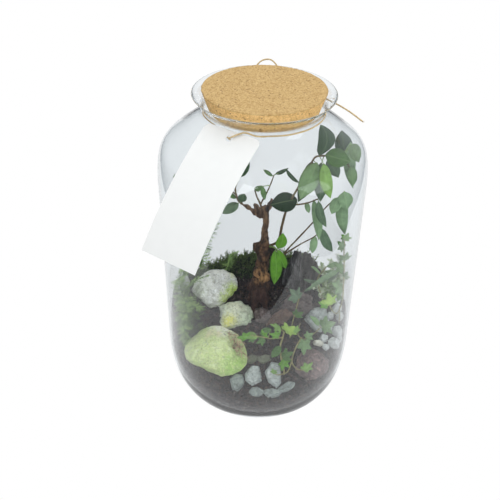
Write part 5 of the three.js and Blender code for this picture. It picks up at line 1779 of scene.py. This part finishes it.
def sprigs(at, half, high, count, long, seed):
    """A cushion's sprigs, with painted shade that darkens them towards its front edge, and none of them
    through the glass.
    """
    draw = random.Random(seed)
    places = []
    tones = []
    while len(places) < count:
        angle, r = math.tau * draw.random(), math.sqrt(draw.random())
        x, y = at[0] + r * half[0] * math.cos(angle), at[1] + r * half[1] * math.sin(angle)
        z = ground(x, y) + high * math.sqrt(max(1 - r * r, 0)) - 1.5
        tall = draw.random() < TALL_SHARE
        size = long * (draw.uniform(0.8, 1.9) if tall else draw.uniform(0.35, 0.7))
        tilt = 0.6 if tall else 0.35
        lean = Euler((draw.gauss(0, tilt), draw.gauss(0, tilt), math.tau * draw.random()))
        place = Matrix.Translation((x, y, z)) @ lean.to_matrix().to_4x4() @ Matrix.Scale(size, 4)
        tip = place @ Vector((0, 0, 1))
        if math.hypot(tip.x, tip.y) > room(tip.z) - 1 or math.hypot(x, y) > room(z) - 1.5:
            continue
        places.append(place)
        # Painted shade: sprigs darken towards the cushion's front edge, which lies in shadow
        lit = mix(0.3, 1, smooth(at[1] - half[1], at[1] + 4, y))
        tones.append(lit * (draw.uniform(0.45, 1) if tall else 0.75 * draw.random() ** 2.5))
    return repeated(sprig(), places, tones)


class TERRARIUM_OT_moss(Operator):
    """Covers the bank and the left side with moss"""

    bl_idname = "terrarium.moss"
    bl_label = "Moss"

    def execute(self, context):
        finish = plain_finish("moss", (0.006, 0.014, 0.003), (0.19, 0.29, 0.06), 6, 0.85)
        for name, (at, half, high, count, long, seed) in MOSS.items():
            piece(cushion(at, half, high, seed), name + "_bed", finish, None)
            piece(sprigs(at, half, high, count, long, seed), name + "_sprigs", finish, name)
        return {"FINISHED"}


# Where the tuft of dead roots hangs, down the right side of the big boulder
ROOTS_FROM = (-23, -42, 79)
ROOTS_TO = (-16, -58, 69)


class TERRARIUM_OT_litter(Operator):
    """Leaves a tuft of dead roots on the big boulder"""

    bl_idname = "terrarium.litter"
    bl_label = "Litter"

    def execute(self, context):
        draw = random.Random(9)
        finish = Finish("dead_roots", Roughness=0.85, Specular_IOR_Level=0.2)
        finish.colour(finish.ramp(finish.grain(4), (0.38, (0.09, 0.045, 0.02)), (0.6, (0.58, 0.42, 0.26))))
        routes = []
        for _ in range(56):
            at = Vector(ROOTS_FROM).lerp(Vector(ROOTS_TO), draw.random())
            at += FACING * draw.uniform(1, 3.2) + Vector((draw.gauss(0, 3), 0, 0))
            way = Vector((draw.gauss(0, 1), 0, draw.gauss(-0.3, 1)))
            way = (way - way.dot(FACING) * FACING).normalized() * draw.uniform(2, 5)
            bend = Vector(draw.gauss(0, 1.0) for _ in range(3))
            r = draw.uniform(0.22, 0.46)
            routes.append(tapered([at - way, at + bend, at + way], (r * 0.7, r, r * 0.5), 8))
        piece(tubes(routes, 0), "dead_roots", finish.material, None)
        return {"FINISHED"}


OPERATORS = [
    TERRARIUM_OT_stage,
    TERRARIUM_OT_jar,
    TERRARIUM_OT_cork,
    TERRARIUM_OT_twine,
    TERRARIUM_OT_tag,
    TERRARIUM_OT_soil,
    TERRARIUM_OT_stones,
    TERRARIUM_OT_wood,
    TERRARIUM_OT_moss,
    TERRARIUM_OT_ficus,
    TERRARIUM_OT_ivy,
    TERRARIUM_OT_ferns,
    TERRARIUM_OT_litter,
]


class TERRARIUM_PT_panel(Panel):
    """Lists the terrarium's pieces and their settings"""

    bl_idname = "TERRARIUM_PT_panel"
    bl_label = "Terrarium"
    bl_space_type = "VIEW_3D"
    bl_region_type = "UI"
    bl_category = "Terrarium"

    def draw(self, context):
        for operator in OPERATORS:
            self.layout.operator(operator.bl_idname)


SETTINGS = {"terrarium_stage": TERRARIUM_PG_stage, "terrarium_jar": TERRARIUM_PG_jar}


def register():
    for group in SETTINGS.values():
        bpy.utils.register_class(group)
    for name, group in SETTINGS.items():
        setattr(bpy.types.Scene, name, PointerProperty(type=group))
    for operator in [*OPERATORS, TERRARIUM_PT_panel]:
        bpy.utils.register_class(operator)


def unregister():
    for operator in [TERRARIUM_PT_panel, *reversed(OPERATORS)]:
        bpy.utils.unregister_class(operator)
    for name in SETTINGS:
        delattr(bpy.types.Scene, name)
    for group in SETTINGS.values():
        bpy.utils.unregister_class(group)


def main():
    for leftover in [o for o in bpy.data.objects if o.type in {"LIGHT", "CAMERA"}]:
        bpy.data.objects.remove(leftover)
    register()
    for operator in OPERATORS:
        area, name = operator.bl_idname.split(".")
        getattr(getattr(bpy.ops, area), name)()


if __name__ == "__main__":
    main()
